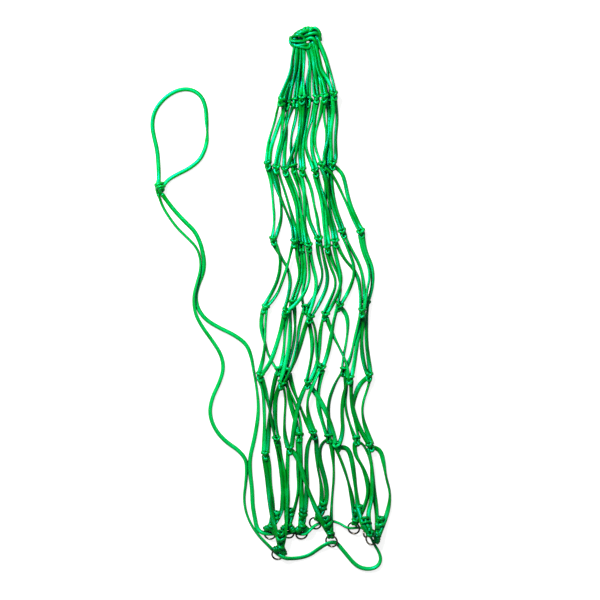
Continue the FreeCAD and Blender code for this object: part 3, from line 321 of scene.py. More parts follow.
def new_point(x, y, z, freedom=1.0, held=True):
    """A route point.  freedom is how far a push moves it; a held one is drawn back to where it was laid."""
    points.append([float(x), float(y), float(z)])
    laid.append((x, y) if held else None)
    ease.append(freedom)
    return len(points) - 1


def new_place(parts, radius):
    """A place worked out from route points: parts are (share, (point, offset))."""
    weights, offset = {}, [0.0, 0.0, 0.0]
    for share, (point, shift) in parts:
        weights[point] = weights.get(point, 0.0) + share
        offset = [o + share * s for o, s in zip(offset, shift)]
    places.append((tuple(weights.items()), tuple(offset), radius))
    return len(places) - 1


def where(place):
    """A place is the sum of its points, each times its share, and its offset."""
    weights, (x, y, z), _ = places[place]
    for point, share in weights:
        px, py, pz = points[point]
        x += share * px
        y += share * py
        z += share * pz
    return [x, y, z]


WORLD = new_point(0, 0, 0, 0.0, held=False)      # the fixed point that rigid pieces are measured from
print("a corner is rounded from %.0f%% of its shorter run" % (100 * CUT))

# %% Cords, beads and rigid loops


def new_cord(route, radius, cord, first_seat, last_seat):
    """Places along the smooth line that the route's corners draw, and the pieces between them."""
    plan = [[points[point][k] + shift[k] for k in (0, 1)] for point, shift in route]
    runs = [math.dist(a, b) for a, b in zip(plan, plan[1:])]
    ends = [new_place(((1.0, route[0]),), radius)]
    for i in range(1, len(route)):
        ends.append(new_place(((0.5, route[i - 1]), (0.5, route[i])), radius))
        if i < len(route) - 1:
            pull = CUT / 4 * min(runs[i - 1], runs[i])      # the spline's own middle lies a quarter in
            back, on = pull / runs[i - 1], pull / runs[i]
            shares = ((back, route[i - 1]), (1.0 - back - on, route[i]), (on, route[i + 1]))
            ends.append(new_place(shares, radius))
    ends.append(new_place(((1.0, route[-1]),), radius))
    last = len(ends) - 1
    for i in range(last):
        seats = {first_seat} if i < SEAT_SPAN else set()
        if i >= last - SEAT_SPAN:
            seats.add(last_seat)
        pieces.append((ends[i], ends[i + 1], cord, i, seats))


def new_bead(point, shift, half, radius, seat):
    """A knot or a hitch: a bead with round ends, which reaches half either side of its middle."""
    ends = [new_place(((1.0, (point, tuple(s + sign * h for s, h in zip(shift, half)))),), radius)
            for sign in (-1, 1)]
    pieces.append((ends[0], ends[1], ("bead", seat), 0, {seat}))


def new_loop(corners, radius, seat):
    """A closed rigid ring of straight pieces."""
    ends = [new_place(((1.0, (WORLD, corner)),), radius) for corner in corners]
    for i in range(len(ends)):
        pieces.append((ends[i - 1], ends[i], ("loop", seat), 0, {seat}))


print("a cord's last %d pieces may touch their seat" % SEAT_SPAN)

# %% [markdown]
# ## Who lies near whom
#
# Testing every piece against every other takes too long.  The pieces are sorted into the cells of a grid
# over the floor, and only those that share a cell are tested.

# %% Where two pieces lie nearest
TINY = 1e-12             # less length squared than this is no length
PARALLEL = 1e-21         # less spread than this, and the two run side by side


def clamped(share):
    return min(1.0, max(0.0, share))


def nearest(a, b, c, d):
    """How far along a-b and c-d the two lie nearest, and the step from the second to the first.  Both shares
    solve two linear equations, that the step is square to both pieces, and are held between 0 and 1."""
    ux, uy, uz = b[0] - a[0], b[1] - a[1], b[2] - a[2]
    vx, vy, vz = d[0] - c[0], d[1] - c[1], d[2] - c[2]
    wx, wy, wz = a[0] - c[0], a[1] - c[1], a[2] - c[2]
    uu, vv = ux * ux + uy * uy + uz * uz, vx * vx + vy * vy + vz * vz
    vw, uw = vx * wx + vy * wy + vz * wz, ux * wx + uy * wy + uz * wz
    if uu < TINY and vv < TINY:
        s = t = 0.0
    elif uu < TINY:
        s, t = 0.0, clamped(vw / vv)
    elif vv < TINY:
        s, t = clamped(-uw / uu), 0.0
    else:
        uv = ux * vx + uy * vy + uz * vz
        spread = uu * vv - uv * uv
        s = clamped((uv * vw - uw * vv) / spread) if spread > PARALLEL else 0.5
        t = (uv * s + vw) / vv
        if t < 0.0:
            s, t = clamped(-uw / uu), 0.0
        elif t > 1.0:
            s, t = clamped((uv - uw) / uu), 1.0
    return s, t, wx + s * ux - t * vx, wy + s * uy - t * vy, wz + s * uz - t * vz


print("a stick crosses %.1f above another" % nearest((0, 0, 1), (2, 0, 1), (1, -1, 0), (1, 1, 0))[4])

# %% Neighbours
REACH = 0.005            # how near two pieces are before they are tested against each other
CELL = 0.024             # size of a grid cell


def may_touch(one, other):
    """True for neighbours along a cord, one rigid ring, and a cord's end and what it is seated in."""
    if one[2] == other[2]:
        return one[2][0] == "loop" or abs(one[3] - other[3]) <= SEAT_SPAN
    shared = one[4] & other[4]
    if not shared:
        return False
    rigid = {"bead", "loop"}
    if one[2][0] in rigid or other[2][0] in rigid:
        return True
    return shared == {"tail knot"} and (one[3] == 0 or other[3] == 0)


def near_pairs(spots):
    """Pairs of pieces that lie near each other, found on a grid over the floor."""
    boxes, grid = [], {}
    for i, (a, b, _, _, _) in enumerate(pieces):
        pad = places[a][2] + REACH / 2
        box = []
        for one, other in zip(spots[a], spots[b]):
            box += [min(one, other) - pad, max(one, other) + pad]
        boxes.append(box)
        for gx in range(int(box[0] // CELL), int(box[1] // CELL) + 1):
            for gy in range(int(box[2] // CELL), int(box[3] // CELL) + 1):
                grid.setdefault((gx, gy), []).append(i)
    pairs = set()
    for members in grid.values():
        for n, i in enumerate(members):
            p = boxes[i]
            for j in members[n + 1:]:
                q = boxes[j]
                meet = all(p[k] <= q[k + 1] and q[k] <= p[k + 1] for k in (0, 2, 4))
                if meet and not may_touch(pieces[i], pieces[j]):
                    pairs.add((i, j))
    return sorted(pairs)


print("neighbours are looked for in cells of %.0f mm" % (1000 * CELL))

# %% [markdown]
# ## Settling
#
# A pass pushes crossing cords a diameter apart, evens each cord out towards the bends that it was laid
# with, draws every point back to its laid place and lets it sink, and lifts what has sunk into the floor.
# All but the pushes fade away, so that the last passes only clear what still touches.

# %% One push
PUSH = 0.9               # the share of an overlap that one push clears
STEP = 0.002             # the furthest that one push moves a point
STUCK = 1e-9             # less freedom or distance than this can't be worked with


def push_apart(spots, i, j, gap):
    """Moves the route points of two pieces apart.  Each point moves by its share in the two nearest spots,
    times its freedom.  The step is the overlap over the sum of each share squared times its freedom."""
    a, b, c, d = pieces[i][0], pieces[i][1], pieces[j][0], pieces[j][1]
    clear = places[a][2] + places[c][2] + gap
    s, t, nx, ny, nz = nearest(spots[a], spots[b], spots[c], spots[d])
    apart = math.sqrt(nx * nx + ny * ny + nz * nz)
    if apart >= clear or apart < STUCK:
        return
    share = {}
    for place, part in ((a, 1.0 - s), (b, s), (c, t - 1.0), (d, -t)):
        for point, weight in places[place][0]:
            share[point] = share.get(point, 0.0) + part * weight
    give = sum(part * part * ease[point] for point, part in share.items())
    if give < STUCK:
        return
    step = PUSH * (clear - apart) / give / apart
    for point, part in share.items():
        move = min(STEP / apart, max(-STEP / apart, step * part * ease[point]))
        points[point][0] += move * nx
        points[point][1] += move * ny
        points[point][2] += move * nz
    for place in (a, b, c, d):
        spots[place] = where(place)


print("a push moves a point %.0f mm at most" % (1000 * STEP))

# %% The whole settling
ROUNDS = 240             # passes of the settling
GRAVITY = 0.0005         # how far a free point sinks in a pass
HOLD = 0.35              # how strongly a point is drawn back to its laid place
FAIR = 0.10              # how strongly a cord is evened out towards the bends it was laid with
FADE = 0.72              # the share of the passes after which only pushes are left
LOOK_AGAIN = 6           # passes between two searches for neighbours
FLOOR_FIT = 0.0005


def laid_bends(route):
    """How far each point was laid off the middle of its neighbours, in plan."""
    spots = [[points[point][k] + shift[k] for k in (0, 1)] for point, shift in route]
    return [[b[k] - (a[k] + c[k]) / 2 for k in (0, 1)] + [0.0]
            for a, b, c in zip(spots, spots[1:], spots[2:])]


def even_out(route, bends, strength):
    """Draws each point towards the middle of its neighbours plus the bend that it was laid with."""
    for (before, up), (here, _), (after, down), bend in zip(route, route[1:], route[2:], bends):
        for k in range(3):
            middle = (points[before][k] + up[k] + points[after][k] + down[k]) / 2
            points[here][k] += strength * (middle + bend[k] - points[here][k])


def settle(routes, gap):
    """Runs the passes; gap is how far apart two cords are kept, beyond touching."""
    for turn in range(ROUNDS):
        spots = [where(place) for place in range(len(places))]
        if turn % LOOK_AGAIN == 0:
            pairs = near_pairs(spots)
        fade = max(0.0, 1.0 - turn / (FADE * ROUNDS))
        for i, j in pairs:
            push_apart(spots, i, j, gap)
        for route, bends in routes:
            even_out(route, bends, FAIR * fade)
        for point, home in enumerate(laid):
            if ease[point] == 0.0:
                continue
            if home:
                points[point][0] += HOLD * fade * (home[0] - points[point][0])
                points[point][1] += HOLD * fade * (home[1] - points[point][1])
            points[point][2] -= GRAVITY * fade
        for place, (weights, _, radius) in enumerate(places):
            low = radius + FLOOR_FIT - where(place)[2]
            give = sum(share * share * ease[point] for point, share in weights)
            if low > 0.0 and give > STUCK:
                for point, share in weights:
                    points[point][2] += low * share * ease[point] / give


print("gravity fades out after pass %d of %d" % (FADE * ROUNDS, ROUNDS))

# %% [markdown]
# ## How the rings and the eye lie
#
# A loose ring lies on the floor at one side and on the string at the other, so it leans a little, and its
# hitch points up the net.  One ring stands up, because the string holds it.  The lean follows from the two
# heights, so that no ring has to be turned by hand.

# %% The rings' frames and the eye's corners
RING_CORNERS = 12        # corners of the loop that stands for a ring while the cords settle
STRING_FIT = 6 * FIT     # clearance between a ring and the string under it
EYE_CORNERS = 6          # straight pieces in each of the eye's bends


def heading(degrees, up=0.0):
    angle = math.radians(degrees)
    return Vector((math.cos(angle), math.sin(angle), up))


def ring_frames():
    """Middle, normal and hitch direction of each mouth ring.  A flat ring leans by the rise from the floor
    to the string over its radius, shared out by how far the string lies from its highest side."""
    frames = {}
    low = WIRE_R + FIT
    under = STRING_CORD + WIRE_R + STRING_FIT
    for name, (x, y, hitch, below) in FLAT_RINGS.items():
        half = ((hitch - below + 180.0) % 360.0 - 180.0) / 2
        spread = math.cos(math.radians(half))
        lift = (low * spread + under) / (1.0 + spread)
        slope = (lift - low) / RING_R
        uphill = heading(below + half) * slope
        normal = Vector((-uphill.x, -uphill.y, 1.0)).normalized()
        level = heading(hitch)
        to_hitch = Vector((level.x, level.y, level.x * uphill.x + level.y * uphill.y)).normalized()
        frames[name] = (Vector((*metres(x, y), lift)), normal, to_hitch)
    for name, (beside, x, y, z, along, lean) in STANDING_RING.items():
        tilt = math.radians(lean)
        to_hitch = heading(along + 180.0) * math.sin(tilt) + Vector((0, 0, math.cos(tilt)))
        normal = heading(along) * math.cos(tilt) + Vector((0, 0, math.sin(tilt)))
        rest = RING_R - WIRE_R - STRING_R - FIT
        foot = Vector(metres(FLAT_RINGS[beside][0] + x, FLAT_RINGS[beside][1] + y, z))
        frames[name] = (foot + to_hitch * rest, normal, to_hitch)
    return frames


def eye_corners():
    """The eye's core line as a closed row of points: a half circle at each end of a straight."""
    half = EYE_STRAIGHT / 2
    turn = Matrix.Rotation(math.radians(EYE_TURN), 3, "Z")
    corners = []
    for side in (1, -1):
        for i in range(EYE_CORNERS + 1):
            angle = math.radians(-90.0 + 180.0 * i / EYE_CORNERS)
            spot = Vector((half + EYE_BEND * math.cos(angle), EYE_BEND * math.sin(angle), 0)) * side
            corners.append(turn @ spot + Vector((0, 0, EYE_SECTION_R)))
    return corners


rings = ring_frames()
for name, (middle, normal, _) in rings.items():
    print("ring %s leans %.0f degrees, %.1f mm up" % (name, math.degrees(normal.angle(Vector((0, 0, 1)))),
                                                  1000 * middle.z))

# %% [markdown]
# ## Laying the net down
#
# Knots, rings and the eye come first, because the legs are seated in them.  A leg enters a knot beside its
# neighbour, left or right as it comes.  The whole net is then settled at once.

# %% The knots, the rings and the eye
DROP = {0: 0.009, 1: 0.030}      # heights that the back and the front of the net are dropped from
KNOT_FREEDOM = 0.35              # a knot is heavier than a cord, so a push moves it less


def lay_knots():
    """A point and a bead for each netting knot; gives the points."""
    knots = {}
    for row, laid_row in enumerate(KNOTS, 1):
        for name, (x, y, side) in laid_row.items():
            knots[row, name] = new_point(*metres(x, y), DROP[side], KNOT_FREEDOM)
            new_bead(knots[row, name], NONE, KNOT_CORE, KNOT_R, (row, name))
    return knots


def lay_rings_and_eye():
    """Rigid loops for the rings and the eye, a bead for each hitch, and the seats of the first legs."""
    for name, (middle, normal, to_hitch) in rings.items():
        across = normal.cross(to_hitch)
        new_bead(WORLD, tuple(middle + to_hitch * RING_R), tuple(across * SLEEVE_CORE), SLEEVE_R + FIT / 2,
                 ("ring", name))
        turns = [2 * math.pi * i / RING_CORNERS for i in range(RING_CORNERS)]
        spots = [middle + (to_hitch * math.cos(turn) + across * math.sin(turn)) * RING_R for turn in turns]
        new_loop([tuple(spot) for spot in spots], WIRE_R, (name, "wire"))
    new_loop([tuple(corner) for corner in eye_corners()], EYE_SECTION_R, "eye")
    seats = {}
    for number, (x, y) in enumerate(EYE_SEATS):
        for layer, height in (("low", LOW_SEAT), ("top", TOP_SEAT)):
            seats["%s%d" % (layer, number)] = new_point(*metres(x, y), height * EYE_SECTION_R, 0.0)
    return seats


knots = lay_knots()
seats = lay_rings_and_eye()
print("%d route points and %d rigid pieces" % (len(points), len(pieces)))

# %% Where a leg starts and ends


def left_and_right(course, end):
    """Which of the two legs at each knot lies left (-1) and which right (+1)."""
    met = {}
    for number, leg in enumerate(course):
        near = leg[2] if end == 0 else leg[-1]
        met.setdefault(leg[end], []).append((near[0], number))
    return {number: side for legs in met.values() for side, (_, number) in zip((-1, 1), sorted(legs))}


def leg_start(row, above, side):
    """Where a leg starts, what it is seated in there, and how high that was dropped from."""
    if row == 1:
        return (seats[above], NONE), "eye", DROP[0 if above.startswith("low") else 1]
    start = knots[row - 1, above], (STRAND_OFF * side, -STRAND_IN, 0.0)
    return start, (row - 1, above), DROP[KNOTS[row - 2][above][2]]


def leg_finish(row, below, side):
    """Where a leg ends, likewise."""
    if row <= len(KNOTS):
        finish = knots[row, below], (STRAND_OFF * side, STRAND_IN, 0.0)
        return finish, (row, below), DROP[KNOTS[row - 1][below][2]]
    middle, normal, to_hitch = rings[below]
    across = normal.cross(to_hitch)
    step = math.copysign(STRAND_OFF * side, across.x * side)
    finish = WORLD, tuple(middle + to_hitch * (RING_R + SLEEVE_SEAT * SLEEVE_R) + across * step)
    return finish, ("ring", below), DROP[0]


print("leg 0 of course 1 comes %s of its neighbour"
      % ("left" if left_and_right(LEGS[0], 1)[0] < 0 else "right"))

# %% Lay the legs
SWAP = 0.00037           # step in the height that neighbouring legs are dropped from
SWAP_ORDER = 7, 5        # leg 0, 1, 2 ... drops from step 0, 2, 4, 1, 3 ...


def lay_legs(routes):
    """Each leg's points drop from heights that run evenly from its start's to its finish's."""
    for row, course in enumerate(LEGS, 1):
        upper, lower = left_and_right(course, 0), left_and_right(course, 1)
        for number, (above, below, *via) in enumerate(course):
            first, first_seat, start = leg_start(row, above, upper[number])
            last, last_seat, finish = leg_finish(row, below, lower[number])
            route = [first]
            for step, (x, y) in enumerate(via, 1):
                share = step / (len(via) + 1)
                swap = SWAP * (number * SWAP_ORDER[0] % SWAP_ORDER[1])
                route.append((new_point(*metres(x, y), start + (finish - start) * share + swap), NONE))
            route.append(last)
            routes["leg", row, number] = route
            new_cord(route, PRESSED_R, ("leg", row, number), first_seat, last_seat)


routes = {}
lay_legs(routes)
print("%d legs in %d pieces" % (len(routes), len(pieces)))

# %% Lay the drawstring


def laid_points(spots):
    """Route points with no offset, at the height that each spot gives or at LAID_HIGH."""
    return [(new_point(*metres(x, y, *(high or (LAID_HIGH,)))), NONE) for x, y, *high in spots]


def lay_string(routes):
    """The drawstring and its loop both start and end in the knot of the tails."""
    tail = new_point(*metres(*TAIL_KNOT), TAIL_WIDTH / 2, 0.0)
    half = TAIL_LENGTH / 4
    new_bead(tail, NONE, (0.0, half, 0.0), TAIL_WIDTH / 2, "tail knot")
    string = laid_points([spot for stretch in STRING.values() for spot in stretch])
    routes["string"] = [(tail, (TAIL_OFF, -half, 0.0))] + string + [(tail, (-TAIL_OFF, -half, 0.0))]
    hang = laid_points(HANG_LOOP)
    routes["hang"] = [(tail, (TAIL_OFF, half, 0.0))] + hang + [(tail, (-TAIL_OFF, half, 0.0))]
    for name in ("string", "hang"):
        new_cord(routes[name], STRING_R, (name,), "tail knot", "tail knot")


lay_string(routes)
print("%d cords in %d pieces" % (len(routes), len(pieces)))

# %% Settle everything
GAP = 1.5 * FIT
settle([(route, laid_bends(route)) for route in routes.values()], GAP)
lines = {name: [Vector([p + s for p, s in zip(points[point], shift)]) for point, shift in route]
         for name, route in routes.items()}
knot_middles = {key: Vector(points[point]) for key, point in knots.items()}
print("the highest knot lies %.1f mm up" % (1000 * max(knot.z for knot in knot_middles.values())))

# %% [markdown]
# ## The camera
#
# It looks straight down, from far enough away that the net is seen almost without perspective.

# %% Camera
VIEW_WIDTH = 1.11                # width of floor that the view takes in
VIEW_HEIGHT = 3.2                # camera above the floor
VIEW_MIDDLE = (-0.0102, -0.4829)
SENSOR = 36.0                    # millimetres

camera_data = bpy.data.cameras.new("camera")
camera_data.sensor_width = SENSOR
camera_data.lens = SENSOR * VIEW_HEIGHT / VIEW_WIDTH
camera = bpy.data.objects.new("camera", camera_data)
camera.location = (*VIEW_MIDDLE, VIEW_HEIGHT)
bpy.context.scene.collection.objects.link(camera)
bpy.context.scene.camera = camera
print("camera: a lens of %.0f mm, %.1f m up" % (camera_data.lens, VIEW_HEIGHT))

# %% [markdown]
# ## Cords
#
# A real braid is a flat soft tube that turns over slowly as it runs.  A curve with a round bevel would show
# it as stiff wire.  Here the route's points are the control points of a NURBS spline, which is as smooth as
# a limp cord, and an oval section is carried along that spline as one array.

# %% The line that a cord follows
FINENESS = 8             # points of a line to each point of its route
TOO_STEEP = 0.1          # below this sine of its angle to the vertical, a line has no clear side


def smooth_line(route, fineness=FINENESS):
    """The points of the NURBS spline whose control points are the route's."""
    curve = bpy.data.curves.new("line", "CURVE")
    curve.dimensions = "3D"
    spline = curve.splines.new("NURBS")
    spline.points.add(len(route) - 1)
    spline.points.foreach_set("co", np.column_stack([np.array(route), np.ones(len(route))]).ravel())
    spline.order_u = 3
    spline.use_endpoint_u = True
    spline.resolution_u = fineness
    holder = bpy.data.objects.new("line", curve)
    mesh = bpy.data.meshes.new_from_object(holder)
    line = np.empty(len(mesh.vertices) * 3)
    mesh.vertices.foreach_get("co", line)
    bpy.data.meshes.remove(mesh)
    bpy.data.objects.remove(holder)
    bpy.data.curves.remove(curve)
    return line.reshape(-1, 3)


def run_along(line):
    """How far along the line each of its points lies: the lengths between the points, added up."""
    return np.concatenate([[0.0], np.cumsum(np.linalg.norm(np.diff(line, axis=0), axis=1))])


def unit(rows):
    """Each row over its own length."""
    return rows / np.maximum(np.linalg.norm(rows, axis=-1, keepdims=True), TINY)


def carried_frames(line, closed=False):
    """Along, side and up at each point of a line.  Along is the step between its neighbours.  Side is the
    side before it, less its part along the line, so it is carried without twisting; up is square to both.
    Each side needs the one before it, so this runs down the middle line, not over the cord's corners."""
    if closed:
        along = unit(np.roll(line, -1, axis=0) - np.roll(line, 1, axis=0))
    else:
        along = unit(np.gradient(line, axis=0))
    side = np.zeros_like(line)
    start = np.cross(along[0], (0.0, 0.0, 1.0))
    if np.linalg.norm(start) < TOO_STEEP:
        start = np.cross(along[0], (0.0, 1.0, 0.0))
    side[0] = unit(start)
    for i in range(1, len(line)):
        side[i] = unit(side[i - 1] - along[i] * np.dot(side[i - 1], along[i]))
    return along, side, np.cross(side, along)


print("one leg is a line of %d points" % len(smooth_line(lines["leg", 1, 0])))

# %% Tubes and meshes


def wrapped_quads(rows, count, around, first=0):
    """Faces between rings i and i + 1 of a tube: corners (i, k), (i+1, k), (i+1, k+1) and (i, k+1), where k
    starts again after the last corner round, and i after the last ring of a closed tube."""
    i, k = np.arange(rows)[:, None], np.arange(around)[None, :]
    here, ahead = first + i * around, first + (i + 1) % count * around
    on = (k + 1) % around
    return np.stack([here + k, ahead + k, ahead + on, here + on], axis=-1).reshape(-1, 4)


def new_object(name, spots, faces):
    """A smooth mesh object at the origin, with its place in its mesh."""
    mesh = bpy.data.meshes.new(name)
    mesh.from_pydata(spots.tolist(), [], faces.tolist())
    mesh.polygons.foreach_set("use_smooth", np.ones(len(faces), bool))
    mesh.update()
    item = bpy.data.objects.new(name, mesh)
    bpy.context.scene.collection.objects.link(item)
    return item


print("a tube of 3 rings of 4 corners has %d faces" % len(wrapped_quads(2, 3, 4)))

# %% Cords gathered into one piece
AROUND = 14              # corners of a cord's section
SQUARENESS = 0.85        # below 1 the oval's sides are fuller than an ellipse's
PRESSED = 0.0002         # a cord is pressed flat where it meets the floor
CORE_LINES, BRAIDED = [], []     # the middle line of every cord, and every piece made of cord


class Strands:
    """Gathers cords into one mesh, with a UV map that runs along and round each of them: metres along, and
    once round from 0 to 1."""

    def __init__(self):
        self.spots, self.faces, self.uvs, self.tones, self.length = [], [], [], [], 0.0

    def add(self, line, width, thick, turn=0.0, closed=False, up=None, tone=0.5):
        """A cord along a line.  The section's corner at angle a is w = width/2 cos a and h = thick/2 sin a,
        its sides a little fuller, turned by t.  Its place is the line's point, plus side times
        (w cos t - h sin t), plus up times (w sin t + h cos t).  up, where given, is the way that the cord's
        flat side faces.  tone is how faded or bright its dye is; on the netting's legs it also carries
        each course's painted shade."""
        CORE_LINES.append(line)
        count = len(line)
        self.tones.append(np.repeat(np.broadcast_to(tone, count), AROUND))
        along, side, carried = carried_frames(line, closed)
        if up is None:
            up = carried
        else:
            side = unit(np.cross(along, up))
            up = np.cross(side, along)
        angles = np.arange(AROUND) / AROUND * 2 * math.pi
        w = np.sign(np.cos(angles)) * np.abs(np.cos(angles)) ** SQUARENESS * width / 2
        h = np.sin(angles) * thick / 2
        t = np.broadcast_to(turn, count)[:, None]
        wide, high = w * np.cos(t) - h * np.sin(t), w * np.sin(t) + h * np.cos(t)
        block = line[:, None, :] + wide[..., None] * side[:, None, :] + high[..., None] * up[:, None, :]
        first = sum(len(earlier) for earlier in self.spots)
        self.spots.append(block.reshape(-1, 3))
        rows = count if closed else count - 1
        self.faces.append(wrapped_quads(rows, count, AROUND, first))
        self.map_round(line, rows, closed)
        if not closed:
            self.cap_ends(line, first)

    def map_round(self, line, rows, closed):
        """u is the distance along the line, v the share of the way round; each face has its own corners."""
        run = run_along(np.concatenate([line, line[:1]]) if closed else line)
        self.length += run[-1]
        shape = (rows, AROUND)
        u0, u1 = (np.broadcast_to(part[:, None], shape) for part in (run[:rows], run[1:rows + 1]))
        v0 = np.broadcast_to(np.arange(AROUND) / AROUND, shape)
        v1 = v0 + 1.0 / AROUND
        self.uvs.append(np.stack([u0, v0, u1, v0, u1, v1, u0, v1], axis=-1).reshape(-1, 2))

    def cap_ends(self, line, first):
        """Closes both ends with a strip of faces from one side of the section to the other."""
        near = np.arange(AROUND // 2 - 1)
        far = AROUND - 1 - near
        cap = np.stack([near, near + 1, far - 1, far], axis=-1)
        last = first + (len(line) - 1) * AROUND
        for start, corners, at in ((first, cap, 0.0), (last, cap[:, ::-1], run_along(line)[-1])):
            self.faces.append(start + corners)
            self.uvs.append(np.stack([np.full(corners.size, at), corners.ravel() / AROUND], axis=-1))

    def object(self, name):
        spots = np.concatenate(self.spots)
        spots[:, 2] = np.maximum(spots[:, 2], PRESSED)
        item = new_object(name, spots, np.concatenate(self.faces))
        mesh = item.data
        layer = mesh.uv_layers.new(name="along_and_round")
        layer.data.foreach_set("uv", np.concatenate(self.uvs).ravel())
        mesh.attributes.new("tone", "FLOAT", "POINT").data.foreach_set("value", np.concatenate(self.tones))
        BRAIDED.append(item)
        print("%-18s %5.2f m of cord, %6d faces" % (name, self.length, len(mesh.polygons)))
        return item


print("a cord has %d corners round it" % AROUND)

# %% [markdown]
# ## Materials
#
# The netting is a soft tubular braid of split-film polypropylene.  The film is dyed right through and is
# glossy, so a lit crown turns pale mint.  The grooves between strands are painted deep green, as the shade
# that falls in them.  The braid is drawn from the cord's own UV map, whose first axis is the distance along
# the cord in metres.  A painted picture would need an image; two families of bands that cross and a checker
# that says which is on top need only a few nodes, and stay sharp at any distance.

# %% Colours and nodes


def linear(hex_colour):
    """A hex colour, as seen on a screen, in the renderer's linear light."""
    channels = [int(hex_colour[i:i + 2], 16) / 255 for i in (1, 3, 5)]
    return [c / 12.92 if c <= 0.04045 else ((c + 0.055) / 1.055) ** 2.4 for c in channels] + [1.0]


def add_node(tree, kind, settings=(), inputs=()):
    """Adds a node with its settings; each input is a value or another node's output."""
    node = tree.nodes.new(kind)
    for key, value in dict(settings).items():
        setattr(node, key, value)
    join(tree, node, inputs)
    return node


def join(tree, node, inputs):
    """Sets each input to its value, or links it to another node's output."""
    for socket, value in dict(inputs).items():
        if isinstance(value, bpy.types.NodeSocket):
            tree.links.new(value, node.inputs[socket])
        else:
            node.inputs[socket].default_value = value


def new_material(name):
    """A material with its node tree and its surface shader."""
    material = bpy.data.materials.new(name)
    material.use_nodes = True
    return material, material.node_tree, material.node_tree.nodes["Principled BSDF"]


print("mid grey on a screen is %.2f in linear light" % linear("#808080")[0])

# %% Braided polypropylene
# Noise scales are cells to the metre: 1000 over the real size in millimetres.
DRIFT = 34.0             # patches of worn and fresh dye, about 30 mm across
FUZZ = 900.0             # loose ends of film, about 1 mm apart
TONE_PULL = 0.5          # how far a cord's own tone shifts its dye
WEAR_STOPS = (0.45, 0.75, 1.0)   # where the dye is faded, plain and fresh
# Painted shade in the braid's grooves: low between the strands the colour turns to the groove's green.
GROOVE_SHADE_SPAN = (0.30, 0.85)    # how far up a strand the groove's green ends, and how strong it is at the bottom
FUZZ_HEIGHT = 0.15       # height of the loose ends, as a share of a strand's
RELIEF = 0.0004          # height of a strand above its groove
SOFT_GLOSS = (0.32, 0.46)
# Split film at 1.49 has a gloss of 4 in 100; the stretched fibres lie side by side and double it, and the
# dye under the thin skin colours it.
FIBRE_GLOSS, MINT = 1.0, "#10fff0"


def braid_material(name, pick, strands, shade):
    """Braided cord.  pick is the length of one crossing in metres, strands how many run each way; shade
    holds its faded, plain and bright green, the green painted as shade in its grooves and the near black
    painted as shade in its folds.  A turn of 45 degrees lays the checks along the strands; the square root
    of 2 keeps the pick's length."""
    material, tree, surface = new_material(name)
    place = add_node(tree, "ShaderNodeTexCoord")
    slant = (math.sqrt(2.0) / pick, math.sqrt(2.0) * strands, 1.0)
    ways = add_node(tree, "ShaderNodeMapping", {},
                    {"Vector": place.outputs["UV"], "Scale": slant, "Rotation": (0.0, 0.0, math.pi / 4)})
    over = add_node(tree, "ShaderNodeTexChecker", {}, {"Vector": ways.outputs[0], "Scale": 1.0})
    split = add_node(tree, "ShaderNodeSeparateXYZ", {}, {0: ways.outputs[0]})
    bands = [add_node(tree, "ShaderNodeMath", {"operation": "PINGPONG"}, {0: split.outputs[k], 1: 0.5})
             for k in (0, 1)]
    crown = add_node(tree, "ShaderNodeMix", {},
                     {0: over.outputs["Fac"], 2: bands[0].outputs[0], 3: bands[1].outputs[0]}).outputs[0]
    drift, fuzz = (add_node(tree, "ShaderNodeTexNoise", {},
                            {"Vector": place.outputs["Object"], "Scale": scale, "Detail": detail}).outputs[0]
                   for scale, detail in ((DRIFT, 3.0), (FUZZ, 2.0)))
    # The second attribute is painted shade: how deep in a fold between cords the surface lies.
    tone, painted_fold_shade = (add_node(tree, "ShaderNodeAttribute", {"attribute_name": kind}).outputs["Fac"]
                   for kind in ("tone", "painted_fold_shade"))
    # Random wear of the dye, and on the netting's legs each course's painted shade, carried by the tone.
    wear_and_painted_shade = add_node(tree, "ShaderNodeMath", {"operation": "MULTIPLY_ADD"}, {0: tone, 1: TONE_PULL, 2: drift})
    body = add_node(tree, "ShaderNodeValToRGB", {}, {0: wear_and_painted_shade.outputs[0]})
    stops = body.color_ramp.elements
    stops.new(WEAR_STOPS[1])
    for stop, at, colour in zip(stops, WEAR_STOPS, shade):
        stop.position = at
        stop.color = linear(colour)
    # Painted shade: low between the strands the colour darkens to the groove's green.
    groove = add_node(tree, "ShaderNodeMapRange", {"interpolation_type": "SMOOTHSTEP"},
                      {0: crown, 1: 0.0, 2: GROOVE_SHADE_SPAN[0], 3: GROOVE_SHADE_SPAN[1], 4: 0.0})
    groove_shaded = add_node(tree, "ShaderNodeMix", {"data_type": "RGBA"},
                       {0: groove.outputs[0], 6: body.outputs[0], 7: linear(shade[3])})
    # Painted shade: the colour darkens towards near black where the cord lies deep among other cords.
    fold_shaded = add_node(tree, "ShaderNodeMix", {"data_type": "RGBA"},
                      {0: painted_fold_shade, 6: groove_shaded.outputs[2], 7: linear(shade[4])})
    height = add_node(tree, "ShaderNodeMath", {"operation": "MULTIPLY_ADD"},
                      {0: fuzz, 1: FUZZ_HEIGHT, 2: crown})
    bump = add_node(tree, "ShaderNodeBump", {},
                    {"Height": height.outputs[0], "Strength": 0.5, "Distance": RELIEF})
    rough = add_node(tree, "ShaderNodeMapRange", {},
                     {0: fuzz, 1: 0.3, 2: 0.7, 3: SOFT_GLOSS[0], 4: SOFT_GLOSS[1]})
    join(tree, surface, {"Base Color": fold_shaded.outputs[2], "Roughness": rough.outputs[0],
                         "Normal": bump.outputs[0], "Specular IOR Level": FIBRE_GLOSS,
                         "Specular Tint": linear(MINT)})
    print("%s: a crossing every %.1f mm" % (name, 1000 * pick))
    return material


